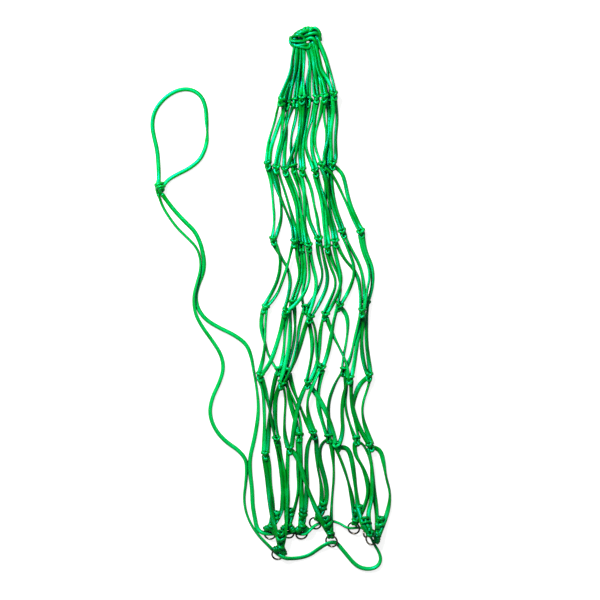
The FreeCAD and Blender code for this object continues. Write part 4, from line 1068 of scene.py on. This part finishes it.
# The last two colours of each cord are painted shade: in the grooves between strands, and in the folds
# between cords.
NET = braid_material("braided_polypropylene_netting", 0.0026, 6,
                     ("#007000", "#009a06", "#04c04c", "#004a02", "#001200"))
STRING_GREEN = braid_material("braided_polypropylene_drawstring", 0.0030, 6,
                              ("#008604", "#009e0c", "#04ba44", "#005c04", "#002004"))

# %% Zinc-plated steel wire
GRAIN, STAIN = 420.0, 90.0       # the plating's grain, about 2 mm, and stains about 11 mm across
SCRATCH = 0.0002                 # depth of the grain
WORN_GLOSS = (0.22, 0.47)
STAINED = ((0.35, "#4a443b"), (0.75, "#938c80"))     # dull stain, and bare plating


def steel_material(name):
    """Bright zinc-plated wire, dulled and stained in use: the stain changes its colour and its gloss."""
    material, tree, surface = new_material(name)
    place = add_node(tree, "ShaderNodeTexCoord").outputs["Object"]
    grain, stain = (add_node(tree, "ShaderNodeTexNoise", {},
                             {"Vector": place, "Scale": scale, "Detail": detail}).outputs[0]
                    for scale, detail in ((GRAIN, 5.0), (STAIN, 3.0)))
    colour = add_node(tree, "ShaderNodeValToRGB", {}, {0: stain})
    for stop, (at, tint) in zip(colour.color_ramp.elements, STAINED):
        stop.position = at
        stop.color = linear(tint)
    bump = add_node(tree, "ShaderNodeBump", {}, {"Height": grain, "Strength": 0.25, "Distance": SCRATCH})
    rough = add_node(tree, "ShaderNodeMapRange", {},
                     {0: grain, 1: 0.0, 2: 1.0, 3: WORN_GLOSS[0], 4: WORN_GLOSS[1]})
    join(tree, surface, {"Base Color": colour.outputs[0], "Metallic": 1.0, "Roughness": rough.outputs[0],
                         "Normal": bump.outputs[0]})
    return material


STEEL = steel_material("zinc_plated_steel_wire")
print("materials:", ", ".join(material.name for material in (NET, STRING_GREEN, STEEL)))

# %% [markdown]
# ## The drawstring and its hanging loop
#
# One cord runs from the tail knot down to the mouth, through every ring and back.  The bight past the
# knot is the loop that the filled net hangs from.  A flat cord shows its broad side where it lies slack and
# its edge where it turns over, so the places where it turns are written down along it, and it turns evenly
# between them.

# %% Finishing a piece


def finish_piece(item, material, slot, body, *nodes):
    """Gives a piece its material, the body that it rides on and the plain solids that it stands for."""
    item.data.materials.clear()
    item.data.materials.append(material)
    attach(item, body)
    if nodes:
        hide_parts(*nodes)


# %% The drawstring and the hanging loop
STRING_WIDE, STRING_THICK = 0.0080, 0.0050
STRING_FINENESS = 14
# How far the cord has turned over, in radians, at distances along it in metres.
STRING_TWIST = ((0.00, 0.0), (0.35, 0.3), (0.42, 1.5), (0.52, 3.0), (0.75, 3.4), (0.95, 4.7), (1.05, 6.3),
                (1.20, 6.4), (1.35, 7.9), (1.50, 9.4), (1.70, 9.6), (1.85, 11.0), (2.10, 11.0))
LOOP_TWIST = ((0.00, 0.3), (0.06, 0.0), (0.125, 0.2), (0.165, 2.9), (0.33, 3.3), (0.47, 3.0))
FRESH_AT_EYE, FRESHER = 0.2, 1.0     # how fresh the dye is beside the eye, and how much more a metre below


def free_cord(name, route, twist, up, *nodes):
    """A cord whose flat side turns as its twist says.  up is the way that an untwisted cord faces, or None
    where it climbs too steeply to have one."""
    line = smooth_line(route, STRING_FINENESS)
    strands = Strands()
    strands.add(line, STRING_WIDE, STRING_THICK, np.interp(run_along(line), *zip(*twist)),
                up=None if up is None else np.tile(up, (len(line), 1)),
                tone=FRESH_AT_EYE - FRESHER * line[:, 1])
    piece = strands.object(name)
    finish_piece(piece, STRING_GREEN, "string_cord", "net", *nodes)
    return piece, line


drawstring, string_line = free_cord("drawstring", lines["string"], STRING_TWIST, None, *STRING)
hanging, hang_line = free_cord("hanging_loop", lines["hang"], LOOP_TWIST, (0.0, 0.0, 1.0), "hang_loop")

# %% [markdown]
# ## The netting's legs
#
# A leg is the length of cord from one knot to the next.  Neighbours must not look alike, and nothing may be
# random, so each leg takes its turn and its dye from its own number.  Each course of legs is one piece,
# because the plain solids come a course at a time too.

# %% Seven courses of legs
NET_WIDE = (0.0084, 0.0077, 0.0076, 0.0074, 0.0085, 0.0092, 0.0092)
NET_THICK = 0.0050
COURSE_PAINTED_LIGHT = (0.35, 0.9, 1.0, 1.0, 1.2, 1.0, 0.7)     # each course's brightness, painted shade: darker by the eye and at the mouth
SWAYS = ((0.7, 0.037, 1.0), (0.4, 0.017, 2.3))   # how far it sways, over what length, its seed's share
GOLDEN = 0.618034
LEG_PACE, LEG_SEED = 14.0, 7     # the quickest turning, in radians to the metre, and how far seeds spread


def golden(number):
    """An even scatter of numbers from 0 to 1.  The callers' factors only shuffle which piece gets which."""
    return number * GOLDEN % 1.0


def lazy_turn(line, start, pace, seed):
    """How a flat cord's section turns: start + pace x distance, plus a slow and a quick sine of distance."""
    run = run_along(line)
    return start + pace * run + sum(size * np.sin(run / span + share * seed) for size, span, share in SWAYS)


# A course's factor on the tone is painted shade: legs are darker by the eye, where they lie bundled, and at
# the mouth, where less light falls.
for row, (course, wide, course_light) in enumerate(zip(LEGS, NET_WIDE, COURSE_PAINTED_LIGHT), 1):
    strands = Strands()
    for number in range(len(course)):
        line = smooth_line(lines["leg", row, number])
        scatter = golden(len(course) * row + number)
        turn = lazy_turn(line, 2 * math.pi * scatter, LEG_PACE * (scatter - 0.5), LEG_SEED * scatter)
        strands.add(line, wide, NET_THICK, turn, tone=course_light * golden(7 * row + 5 * number))
    finish_piece(strands.object("netting_course_%d" % row), NET, "net_cord", "net", "legs_course_%d" % row)

# %% [markdown]
# ## The netting knots
#
# Each knot is a sheet bend, the knot of every hand-tied net.  The two legs from above make a bight.  The
# cord of the mesh below comes up through the bight, goes round behind its neck, crosses in front and tucks
# under itself.  A lump would catch the light like a bead; two real cords, over and under, give the knot
# its edges and its dark gaps.

# %% Six rows of knots
MM = 0.001
# Points in millimetres about the knot's middle: x across, y up the net, z towards the viewer.
BIGHT = ((-2.6, 7.9, -0.3), (-2.6, 2.4, -1.2), (-3.5, -2.4, -0.8), (-2.5, -7.3, 0.8), (0.0, -9.0, 1.6),
         (2.5, -7.3, 0.8), (3.5, -2.4, -0.8), (2.6, 2.4, -1.2), (2.6, 7.9, -0.3))
BEND = ((2.5, -8.5, -1.4), (1.8, -4.1, -0.6), (0.5, -1.2, 2.9), (-1.8, 1.7, 5.6), (-4.8, 3.7, 3.6),
        (-5.6, 5.1, -1.2), (-2.6, 5.9, -4.8), (2.6, 5.9, -4.8), (5.6, 5.1, -1.0), (4.8, 3.4, 3.2),
        (1.4, 2.2, 4.0), (-2.3, -1.0, 2.6), (-3.2, -4.4, 0.2), (-2.5, -8.5, -1.4))
KNOT_WIDE, KNOT_THICK = 0.0064, 0.0046
KNOT_SIZE = 1.10                 # the knots in the net are tied a little looser than the points say
KNOT_FINENESS = 7
LEANS, ROLLS = 0.5, 0.9          # how far knots differ in their lean and in their roll, in radians
KNOT_PACE, KNOT_SWAY = 20.0, 0.3     # a knot's cord turns quickly, but not far


def knot_place(middle, down, row, number, side):
    """Turns a knot to lie along its legs, with its own lean, face up or face down."""
    lean = Matrix.Rotation(LEANS * (golden(5 * row + 2 * number) - 0.5), 4, "X")
    roll = Matrix.Rotation((0.0 if side else math.pi) + ROLLS * (golden(9 * row + number) - 0.5), 4, "Y")
    heading = Matrix.Rotation(math.atan2(down.x, -down.y), 4, "Z")
    return Matrix.Translation(middle) @ heading @ lean @ roll @ Matrix.Scale(KNOT_SIZE, 4)


def placed(points_mm, place, mirror=1.0):
    """A knot's points in their place, mirrored where mirror is -1."""
    return [place @ (Vector((x * mirror, y, z)) * MM) for x, y, z in points_mm]


def mean(vectors):
    """The vectors added up, over how many they are."""
    return sum(vectors, Vector((0.0, 0.0, 0.0))) / len(vectors)


for row, laid_row in enumerate(KNOTS, 1):
    strands = Strands()
    for number, (name, (_, _, side)) in enumerate(laid_row.items()):
        ends = [lines["leg", row, i][-2] for i, leg in enumerate(LEGS[row - 1]) if leg[1] == name]
        starts = [lines["leg", row + 1, i][1] for i, leg in enumerate(LEGS[row]) if leg[0] == name]
        place = knot_place(knot_middles[row, name], mean(starts) - mean(ends), row, number, side)
        mirror = 1.0 if golden(3 * row + number) > 0.5 else -1.0
        for shape in (BIGHT, BEND):
            line = smooth_line(placed(shape, place, mirror), KNOT_FINENESS)
            strands.add(line, KNOT_WIDE, KNOT_THICK, lazy_turn(line, number, KNOT_PACE, number) * KNOT_SWAY)
    finish_piece(strands.object("netting_knots_%d" % row), NET, "net_cord", "net", "knots_row_%d" % row)

# %% [markdown]
# ## The mouth rings
#
# Each ring is bent from steel wire and butt-welded, so it is a round wire with one low bead.  Blender has a
# ready torus, but its wire can't swell at the weld.  The ring turns in its hitch, so it is a piece of its
# own and rides on its own body.

# %% A welded ring
RING_STEPS, WIRE_STEPS = 96, 20
WELD_RISE, WELD_SPAN = 0.10, 0.10    # how much the weld swells the wire, and how far round in radians


def ring_piece(number, middle, normal):
    """A ring of round wire: middle + out(a) (R + r cos b) + normal r sin b, where a goes round the ring, b
    round the wire, and r swells as a bell curve at the weld, where a is half a turn."""
    a = (np.arange(RING_STEPS) * 2 * math.pi / RING_STEPS)[:, None, None]
    b = (np.arange(WIRE_STEPS) * 2 * math.pi / WIRE_STEPS)[None, :, None]
    first = normal.orthogonal().normalized()
    out = np.cos(a) * np.array(first) + np.sin(a) * np.array(normal.cross(first))
    r = WIRE_R * (1.0 + WELD_RISE * np.exp(-((a - math.pi) / WELD_SPAN) ** 2))
    spots = np.array(middle) + out * (RING_R + r * np.cos(b)) + np.array(normal) * (r * np.sin(b))
    item = new_object("steel_ring_%d" % number, spots.reshape(-1, 3),
                      wrapped_quads(RING_STEPS, RING_STEPS, WIRE_STEPS))
    finish_piece(item, STEEL, "ring_steel", "mouth_ring_%d" % number, "ring_%d" % number)


print("the weld stands %.2f mm proud of the wire" % (1000 * WIRE_R * WELD_RISE))

# %% [markdown]
# ## The hitches on the rings
#
# A hitch is a lark's head: both legs go over the wire, round it, and out under the bight that crosses them.
# Above it the two legs are tied together twice.  Some hitches are whipped along the wire as well, which is
# a helix wound round the ring's own circle.

# %% Turns along the wire and ties above it
# Half a lark's head, in millimetres about the wire's middle: out from the ring, across it, and along its
# normal.  The other half mirrors it.
HITCH = ((9.5, 2.7, 0.4), (5.0, 2.6, 1.8), (0.6, 2.5, 4.3), (-3.6, 2.6, 2.6), (-3.9, 2.8, -2.2),
         (0.2, 3.3, -4.3), (4.6, 4.8, -3.2), (6.6, 5.2, 1.6), (6.2, 2.4, 5.8))
HITCH_WIDE = 0.0066
COLLARS = ((0.0115, 1.30), (0.0215, 1.15))   # how far up the legs each tie lies, and its size
WHIPPED = "ABCDI"                # rings whose hitch is whipped along the wire
WHIP_TURNS, WHIP_SPREAD = 8, 1.15    # turns, and how far round the ring they go to either side in radians
WHIP_STEPS = 12                  # points to half a turn
WORN = 0.2                       # tone of cord that is rubbed in use


def whipping(middle, normal, to_hitch):
    """Turns of cord round a ring's wire: a helix whose middle line is the wire's own circle."""
    across = normal.cross(to_hitch)
    share = np.linspace(-1.0, 1.0, WHIP_TURNS * WHIP_STEPS)[:, None]
    at, turn = share * WHIP_SPREAD, share * math.pi * WHIP_TURNS
    out = np.cos(at) * np.array(to_hitch) + np.sin(at) * np.array(across)
    reach = WIRE_R + KNOT_THICK / 2
    return np.array(middle) + out * (RING_R + reach * np.cos(turn)) + np.array(normal) * reach * np.sin(turn)


def collar_place(name, normal, out, size):
    """Where the two legs are tied together above a ring: their axis points up the net."""
    spots, ways = [], []
    for number, leg in enumerate(LEGS[-1]):
        if leg[1] == name:
            line = smooth_line(lines["leg", len(LEGS), number])[::-1]
            at = int(np.searchsorted(run_along(line), out))
            spots.append(Vector(line[at]))
            ways.append(Vector(line[at + 2] - line[at - 2]))
    up = mean(ways).normalized()
    face = (normal - up * normal.dot(up)).normalized()
    turned = Matrix((up.cross(face), up, face)).transposed().to_4x4()
    return Matrix.Translation(mean(spots)) @ turned @ Matrix.Scale(size, 4)


print("%d of the %d hitches are whipped" % (len(WHIPPED), len(rings)))

# %% Each ring and its hitch
for number, (name, (middle, normal, to_hitch)) in enumerate(rings.items(), 1):
    across = normal.cross(to_hitch)
    wire = middle + to_hitch * RING_R
    whole = list(HITCH) + [(out, -side, up) for out, side, up in reversed(HITCH)]
    route = [wire + (to_hitch * out + across * side + normal * up) * MM for out, side, up in whole]
    strands = Strands()
    strands.add(smooth_line(route, KNOT_FINENESS), HITCH_WIDE, KNOT_THICK)
    if name in WHIPPED:
        strands.add(whipping(middle, normal, to_hitch), KNOT_WIDE, KNOT_THICK, tone=WORN)
    for order, (out, size) in enumerate(COLLARS):
        collar = collar_place(name, normal, out, size)
        for shape in (BIGHT, BEND):
            line = smooth_line(placed(shape, collar, 1.0 - 2.0 * order), KNOT_FINENESS)
            strands.add(line, HITCH_WIDE, KNOT_THICK, tone=golden(number + order))
    finish_piece(strands.object("ring_hitch_%d" % number), NET, "net_cord", "net", "hitch_%d" % number)
    ring_piece(number, middle, normal)

# %% [markdown]
# ## The eye
#
# The net is started on a small oval grommet.  Its core is bound with net cord all the way round, and the
# first rows of tying cross its hole.  The binding is one helix round the oval, so it is worked out as one
# closed line.  The crossings follow no rule, so each is given one by one.

# %% The binding
WRAPS, WRAP_STEPS = 18, 16       # turns of the binding, and points to a turn
WRAP_WIDE, WRAP_THICK = 0.0072, 0.0036
BITE = 0.0004                    # how far the binding sinks into the core
WANDER, WANDERS = 0.006, 7       # how far turns wander along the core, as a share of it, and how often
SWELL, SWELLS = 0.07, 11         # how much fuller some turns are, and how often
EYE_TONE = 0.3


def eye_core_line(share):
    """Points of the eye's core line at shares of the way round, and the outward directions there.  Half of
    it is an arc about the straight's end, then the straight; the other half is that, turned round."""
    arc = math.pi * EYE_BEND
    way = share % 1.0 * 2 * (EYE_STRAIGHT + arc)
    side = np.where(way < EYE_STRAIGHT + arc, 1.0, -1.0)[:, None]
    way = way % (EYE_STRAIGHT + arc)
    angle = np.minimum(way, arc) / EYE_BEND - math.pi / 2
    out = np.stack([np.cos(angle), np.sin(angle), np.zeros(len(angle))], axis=1)
    spot = out * EYE_BEND
    spot[:, 0] += EYE_STRAIGHT / 2 - np.maximum(way - arc, 0.0)
    turn = np.array(Matrix.Rotation(math.radians(EYE_TURN), 3, "Z")).T
    return spot @ turn * side + (0.0, 0.0, EYE_SECTION_R), out @ turn * side


def binding_line():
    """The helix core(s) + reach (out(s) cos b + up sin b), where b turns 18 times while s goes once round,
    and the way that its flat side faces."""
    steps = np.arange(WRAPS * WRAP_STEPS)
    share = steps / len(steps)
    turn = steps * 2 * math.pi / WRAP_STEPS
    spot, out = eye_core_line(share + WANDER * np.sin(2 * math.pi * WANDERS * share + turn))
    reach = (EYE_CORE / 2 + WRAP_THICK / 2 - BITE) * (1.0 + SWELL * np.sin(2 * math.pi * SWELLS * share))
    outward = out * np.cos(turn)[:, None] + np.array((0.0, 0.0, 1.0)) * np.sin(turn)[:, None]
    return spot + outward * reach[:, None], outward


helix, faces_up = binding_line()
binding = Strands()
binding.add(helix, WRAP_WIDE, WRAP_THICK, closed=True, up=faces_up, tone=EYE_TONE)
print("the binding is %.2f m of cord in %d turns" % (binding.length, WRAPS))

# %% The crossings
# Loose turns over the binding and across the hole: millimetres about the eye's middle.  The last five lie
# low in the hole.
EYE_CROSSINGS = (
    ((-27, 1, 10), (-27.5, -5, 14.5), (-20, -7, 17), (-12, -6.5, 17.5), (-4, -6.5, 17), (1, -4.5, 15.5),
     (4, 0, 11)),
    ((-26, -9, 7), (-22, -13, 12), (-14, -14, 14.5), (-6, -13, 15), (2, -11, 14), (8, -13, 9)),
    ((-25, 2, 9), (-20, 4, 15), (-13, 5, 17.5), (-7, 3.5, 16), (-3, 0, 12.5), (-2, -5, 13), (-1, -11, 15)),
    ((-17, 4, 13), (-10, 9, 17), (-3, 11, 17.5), (4, 14, 16), (9, 13, 13)),
    ((-3, 3, 10), (3, 6, 14), (9, 7, 16.5), (16, 8.5, 17.5), (22, 8, 17), (27, 3, 12), (28, -4, 6)),
    ((-6, -7, 13), (0, -5, 15), (5, -2, 14.5), (10, 0, 15.5), (15, -2, 16.5), (19, -7, 15), (21, -14, 9)),
    ((19, 19, 9), (14, 18, 16), (9, 13, 15.5), (5, 9, 12.5), (1, 5, 9), (-1, 1, 6), (-4, -4, 4)),
    ((9, 16, 11), (15, 18.5, 15), (22, 16, 16.5), (26.5, 9, 15.5), (26.5, 1, 12), (24, -6, 7)),
    ((-27, 3, 8), (-29, -4, 11), (-27, -11, 12), (-22, -15.5, 11), (-15, -16, 9)),
    ((-25, -8, 10), (-19, -14, 13.5), (-10, -16.5, 14.5), (-2, -18, 14.5), (5, -19, 13), (9, -14, 12)),
    ((-18, 0, 6), (-12, -0.5, 5), (-6, 0, 4.6), (1, 0.5, 3.4), (6, -1, 3.2), (11, -4, 4)),
    ((-16, 10, 6), (-9, 10, 5), (-3, 9.5, 5), (3, 10, 5.5), (8, 12, 6)),
    ((3, 7, 5), (9, 6, 5), (15, 5, 5.5), (20, 4, 6)),
    ((-20, -7, 6), (-13, -7.5, 5), (-6, -8, 5), (-1, -9, 5)),
    ((-10, -7, 4), (-2, -2, 3.4), (6, 4, 3.4), (12, 9, 4)),
)
KNOTTED_FINENESS = 10            # where a cord is bent in bigger curves than in a small knot

for route in EYE_CROSSINGS:
    crossing = smooth_line([Vector(spot) * MM for spot in route], KNOTTED_FINENESS)
    binding.add(crossing, KNOT_WIDE, KNOT_THICK, tone=EYE_TONE)
finish_piece(binding.object("eye_binding"), NET, "net_cord", "net", "eye_wrap")
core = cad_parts["eye_core"]
core.data.materials.clear()
core.data.materials.append(NET)

# %% [markdown]
# ## The knot in the tails
#
# An overhand knot of both tails together stops the loop from pulling through.  One tail runs straight
# through it and the other makes the knot's turns round both, because from above only those turns show.

# %% The tails' knot, and what the cords are
TAIL_STANDING = ((-3.4, 16.0, -5.0), (-5.0, 10.0, -3.0), (-6.4, 4.0, -1.0), (-6.2, -3.0, -1.5),
                 (-4.6, -9.0, -4.0), (-3.3, -15.0, -6.0))
TAIL_WRAP = ((6.0, 8.5, -4.5), (4.0, 8.5, -1.0), (2.0, 7.5, 3.0), (-3.5, 6.0, 5.8), (-9.4, 5.0, 1.0),
             (-7.0, 4.0, -5.4), (1.0, 3.0, -6.2), (7.8, 2.5, -2.0), (7.4, 2.0, 4.6), (0.5, 1.5, 8.2),
             (-5.2, 0.0, 5.0), (-2.6, -3.5, -2.0), (2.4, -6.5, -2.8), (6.0, -3.6, 1.2), (4.8, -0.5, 4.4),
             (-0.4, -2.6, 5.0), (0.6, -8.4, 1.0), (4.2, -15.0, -5.0))
TAIL_WIDE, TAIL_THICK = 0.0068, 0.0052       # the string's cord where it is pulled tight
TAIL_UP = 6                                  # the knot sits this much up the loop, in millimetres

place = Matrix.Translation((*metres(TAIL_KNOT[0], TAIL_KNOT[1] + TAIL_UP), TAIL_WIDTH / 2))
strands = Strands()
for shape in (TAIL_STANDING, TAIL_WRAP):
    strands.add(smooth_line(placed(shape, place), KNOTTED_FINENESS), TAIL_WIDE, TAIL_THICK)
tail_knot = strands.object("tails_knot")
finish_piece(tail_knot, STRING_GREEN, "string_cord", "net", "tail_knot")

print("the drawstring is %.3f m long, its loop %.3f m"
      % (run_along(string_line)[-1], run_along(hang_line)[-1]))

# %% [markdown]
# ## Painted shade in folds and crevices
#
# Little light reaches where cords lie against each other, and that shade is painted into their colour.
# Space is cut into small cells, and the cells that cord fills are marked.  A surface point then looks
# outward along its normal: the fuller the cells in front of it, the deeper it lies in a fold.  The answer is
# kept as an attribute, and the material darkens the cord by it towards near black: painted shade.

# %% Cells that cord fills
CROWD_CELL = 0.002
CROWD_MARGIN = 0.014
CORD_REACH = 0.0032              # how far from its middle line a cord fills the cells
# Cells below the floor count as half full, so that cord is painted darker where it meets the floor: painted
# shade.
FLOOR_CELLS, FLOOR_FULL = 5, 0.5     # cells below the floor, and how full they count
MARK_STEP = 0.7                  # marks along a cord, in cells


def cord_cells(lines):
    """Marks the cells that cord fills, and half marks those below the floor.  Each cell is then blurred
    along each axis: a quarter of both neighbours and half of itself."""
    marks = []
    for line in lines:
        run = run_along(line)
        even = np.arange(0.0, run[-1], CROWD_CELL * MARK_STEP)
        marks.append(np.stack([np.interp(even, run, line[:, k]) for k in range(3)], axis=1))
    marks = np.concatenate(marks)
    low = marks.min(axis=0) - CROWD_MARGIN
    low[2] = -FLOOR_CELLS * CROWD_CELL
    shape = np.ceil((marks.max(axis=0) + CROWD_MARGIN - low) / CROWD_CELL).astype(int) + 1
    cells = np.zeros(shape, np.float32)
    cells[:, :, :FLOOR_CELLS] = FLOOR_FULL
    steps = np.arange(-2, 3)         # cells to either side that a cord may reach
    offsets = np.stack(np.meshgrid(steps, steps, steps), axis=-1).reshape(-1, 3) * CROWD_CELL
    for offset in offsets[np.linalg.norm(offsets, axis=1) <= CORD_REACH]:
        spot = np.rint((marks + offset - low) / CROWD_CELL).astype(int)
        cells[spot[:, 0], spot[:, 1], spot[:, 2]] = 1.0
    for axis in range(3):
        cells = (np.roll(cells, 1, axis) + 2.0 * cells + np.roll(cells, -1, axis)) / 4.0
    return cells, low


cells, cells_low = cord_cells(CORE_LINES)
print("%d x %d x %d cells of %.0f mm" % (*cells.shape, 1000 * CROWD_CELL))

# %% How deep each surface point lies
LOOKS = ((0.0030, 0.45), (0.0050, 0.35), (0.0080, 0.20))     # distances looked out to, and their weights
INSIDE = 1.001                   # a point this many cells inside the last one still has one ahead of it
CLEAR, DEEP = 0.08, 0.55         # fullness at which a fold starts to show, and at which it is deepest


def fullness(spots):
    """The blurred cells' value at any points: each of the eight cells round a point counts by nearness."""
    place = np.clip((spots - cells_low) / CROWD_CELL, 0.0, np.array(cells.shape) - INSIDE)
    corner = place.astype(int)
    part = place - corner
    total = np.zeros(len(spots))
    for ahead in np.ndindex(2, 2, 2):
        share = np.prod(np.where(ahead, part, 1.0 - part), axis=1)
        total += cells[tuple((corner + ahead).T)] * share
    return total


def mesh_rows(mesh, kind):
    """The places or the normals of a mesh's corners, one to a row."""
    rows = np.empty(len(mesh.vertices) * 3)
    mesh.vertices.foreach_get(kind, rows)
    return rows.reshape(-1, 3)


# Each surface point's depth in folds becomes the attribute by which its colour is darkened: painted shade.
for item in BRAIDED:
    spots, normals = mesh_rows(item.data, "co"), mesh_rows(item.data, "normal")
    full = sum(weight * fullness(spots + normals * reach) for reach, weight in LOOKS)
    depth = np.clip((full - CLEAR) / (DEEP - CLEAR), 0.0, 1.0)
    depth = depth * depth * (3.0 - 2.0 * depth)      # eases in and out
    item.data.attributes.new("painted_fold_shade", "FLOAT", "POINT").data.foreach_set("value", depth)
    print("%-18s lies %2.0f%% in folds" % (item.name, 100 * depth.mean()))

# %% [markdown]
# ## The floor
#
# The net lies on plain studio paper.  The paper itself is mid grey, so that it throws little light back up
# between the cords.  To the camera alone it is lifted to white, and keeps a faint shadow.

# %% Studio paper
FLOOR_SIZE = 60.0
FLOOR_LIFT = 0.82                # how much light the paper adds to its own, for the camera only


def floor():
    half = FLOOR_SIZE / 2
    corners = np.array(((-half, -half, 0), (half, -half, 0), (half, half, 0), (-half, half, 0)))
    item = new_object("floor", corners, np.array(((0, 1, 2, 3),)))
    material, tree, surface = new_material("studio_paper")
    path = add_node(tree, "ShaderNodeLightPath").outputs
    lift = add_node(tree, "ShaderNodeMath", {"operation": "MULTIPLY"},
                    {0: path["Is Camera Ray"], 1: FLOOR_LIFT})
    join(tree, surface, {"Base Color": linear("#b4b4b4"), "Roughness": 0.9, "Specular IOR Level": 0.1,
                         "Emission Color": linear("#ffffff"), "Emission Strength": lift.outputs[0]})
    item.data.materials.append(material)


floor()
print("the paper is %.0f m wide" % FLOOR_SIZE)

# %% [markdown]
# ## The light
#
# One small lamp from the upper left draws the crowns of the braid and the shadows between the cords, as a
# studio lamp in its dish does.  A broad lamp overhead and a dim world fill the shadows, so that the green
# stays a colour in them.

# %% Two lamps and the world
WORLD_LIGHT = 0.10


def area_light(name, place, target, size, power):
    """A round lamp that faces its target: size is metres across, power in watts."""
    data = bpy.data.lights.new(name, "AREA")
    data.shape = "DISK"
    data.size = size
    data.energy = power
    item = bpy.data.objects.new(name, data)
    item.location = place
    item.rotation_euler = (Vector(target) - Vector(place)).to_track_quat("-Z", "Y").to_euler()
    bpy.context.scene.collection.objects.link(item)
    print("%s: %.0f W from %.1f m up" % (name, power, place[2]))


area_light("key", place=(-0.80, 0.75, 1.45), target=(0.0, -0.25, 0.0), size=0.6, power=84.0)
area_light("overhead", place=(0.1, 0.3, 2.3), target=(0.0, -0.3, 0.0), size=2.2, power=12.0)

world = bpy.data.worlds.new("studio")
world.use_nodes = True
join(world.node_tree, world.node_tree.nodes["Background"],
     {"Color": (1.0, 1.0, 1.0, 1.0), "Strength": WORLD_LIGHT})
bpy.context.scene.world = world
bpy.context.scene.view_settings.view_transform = "Standard"
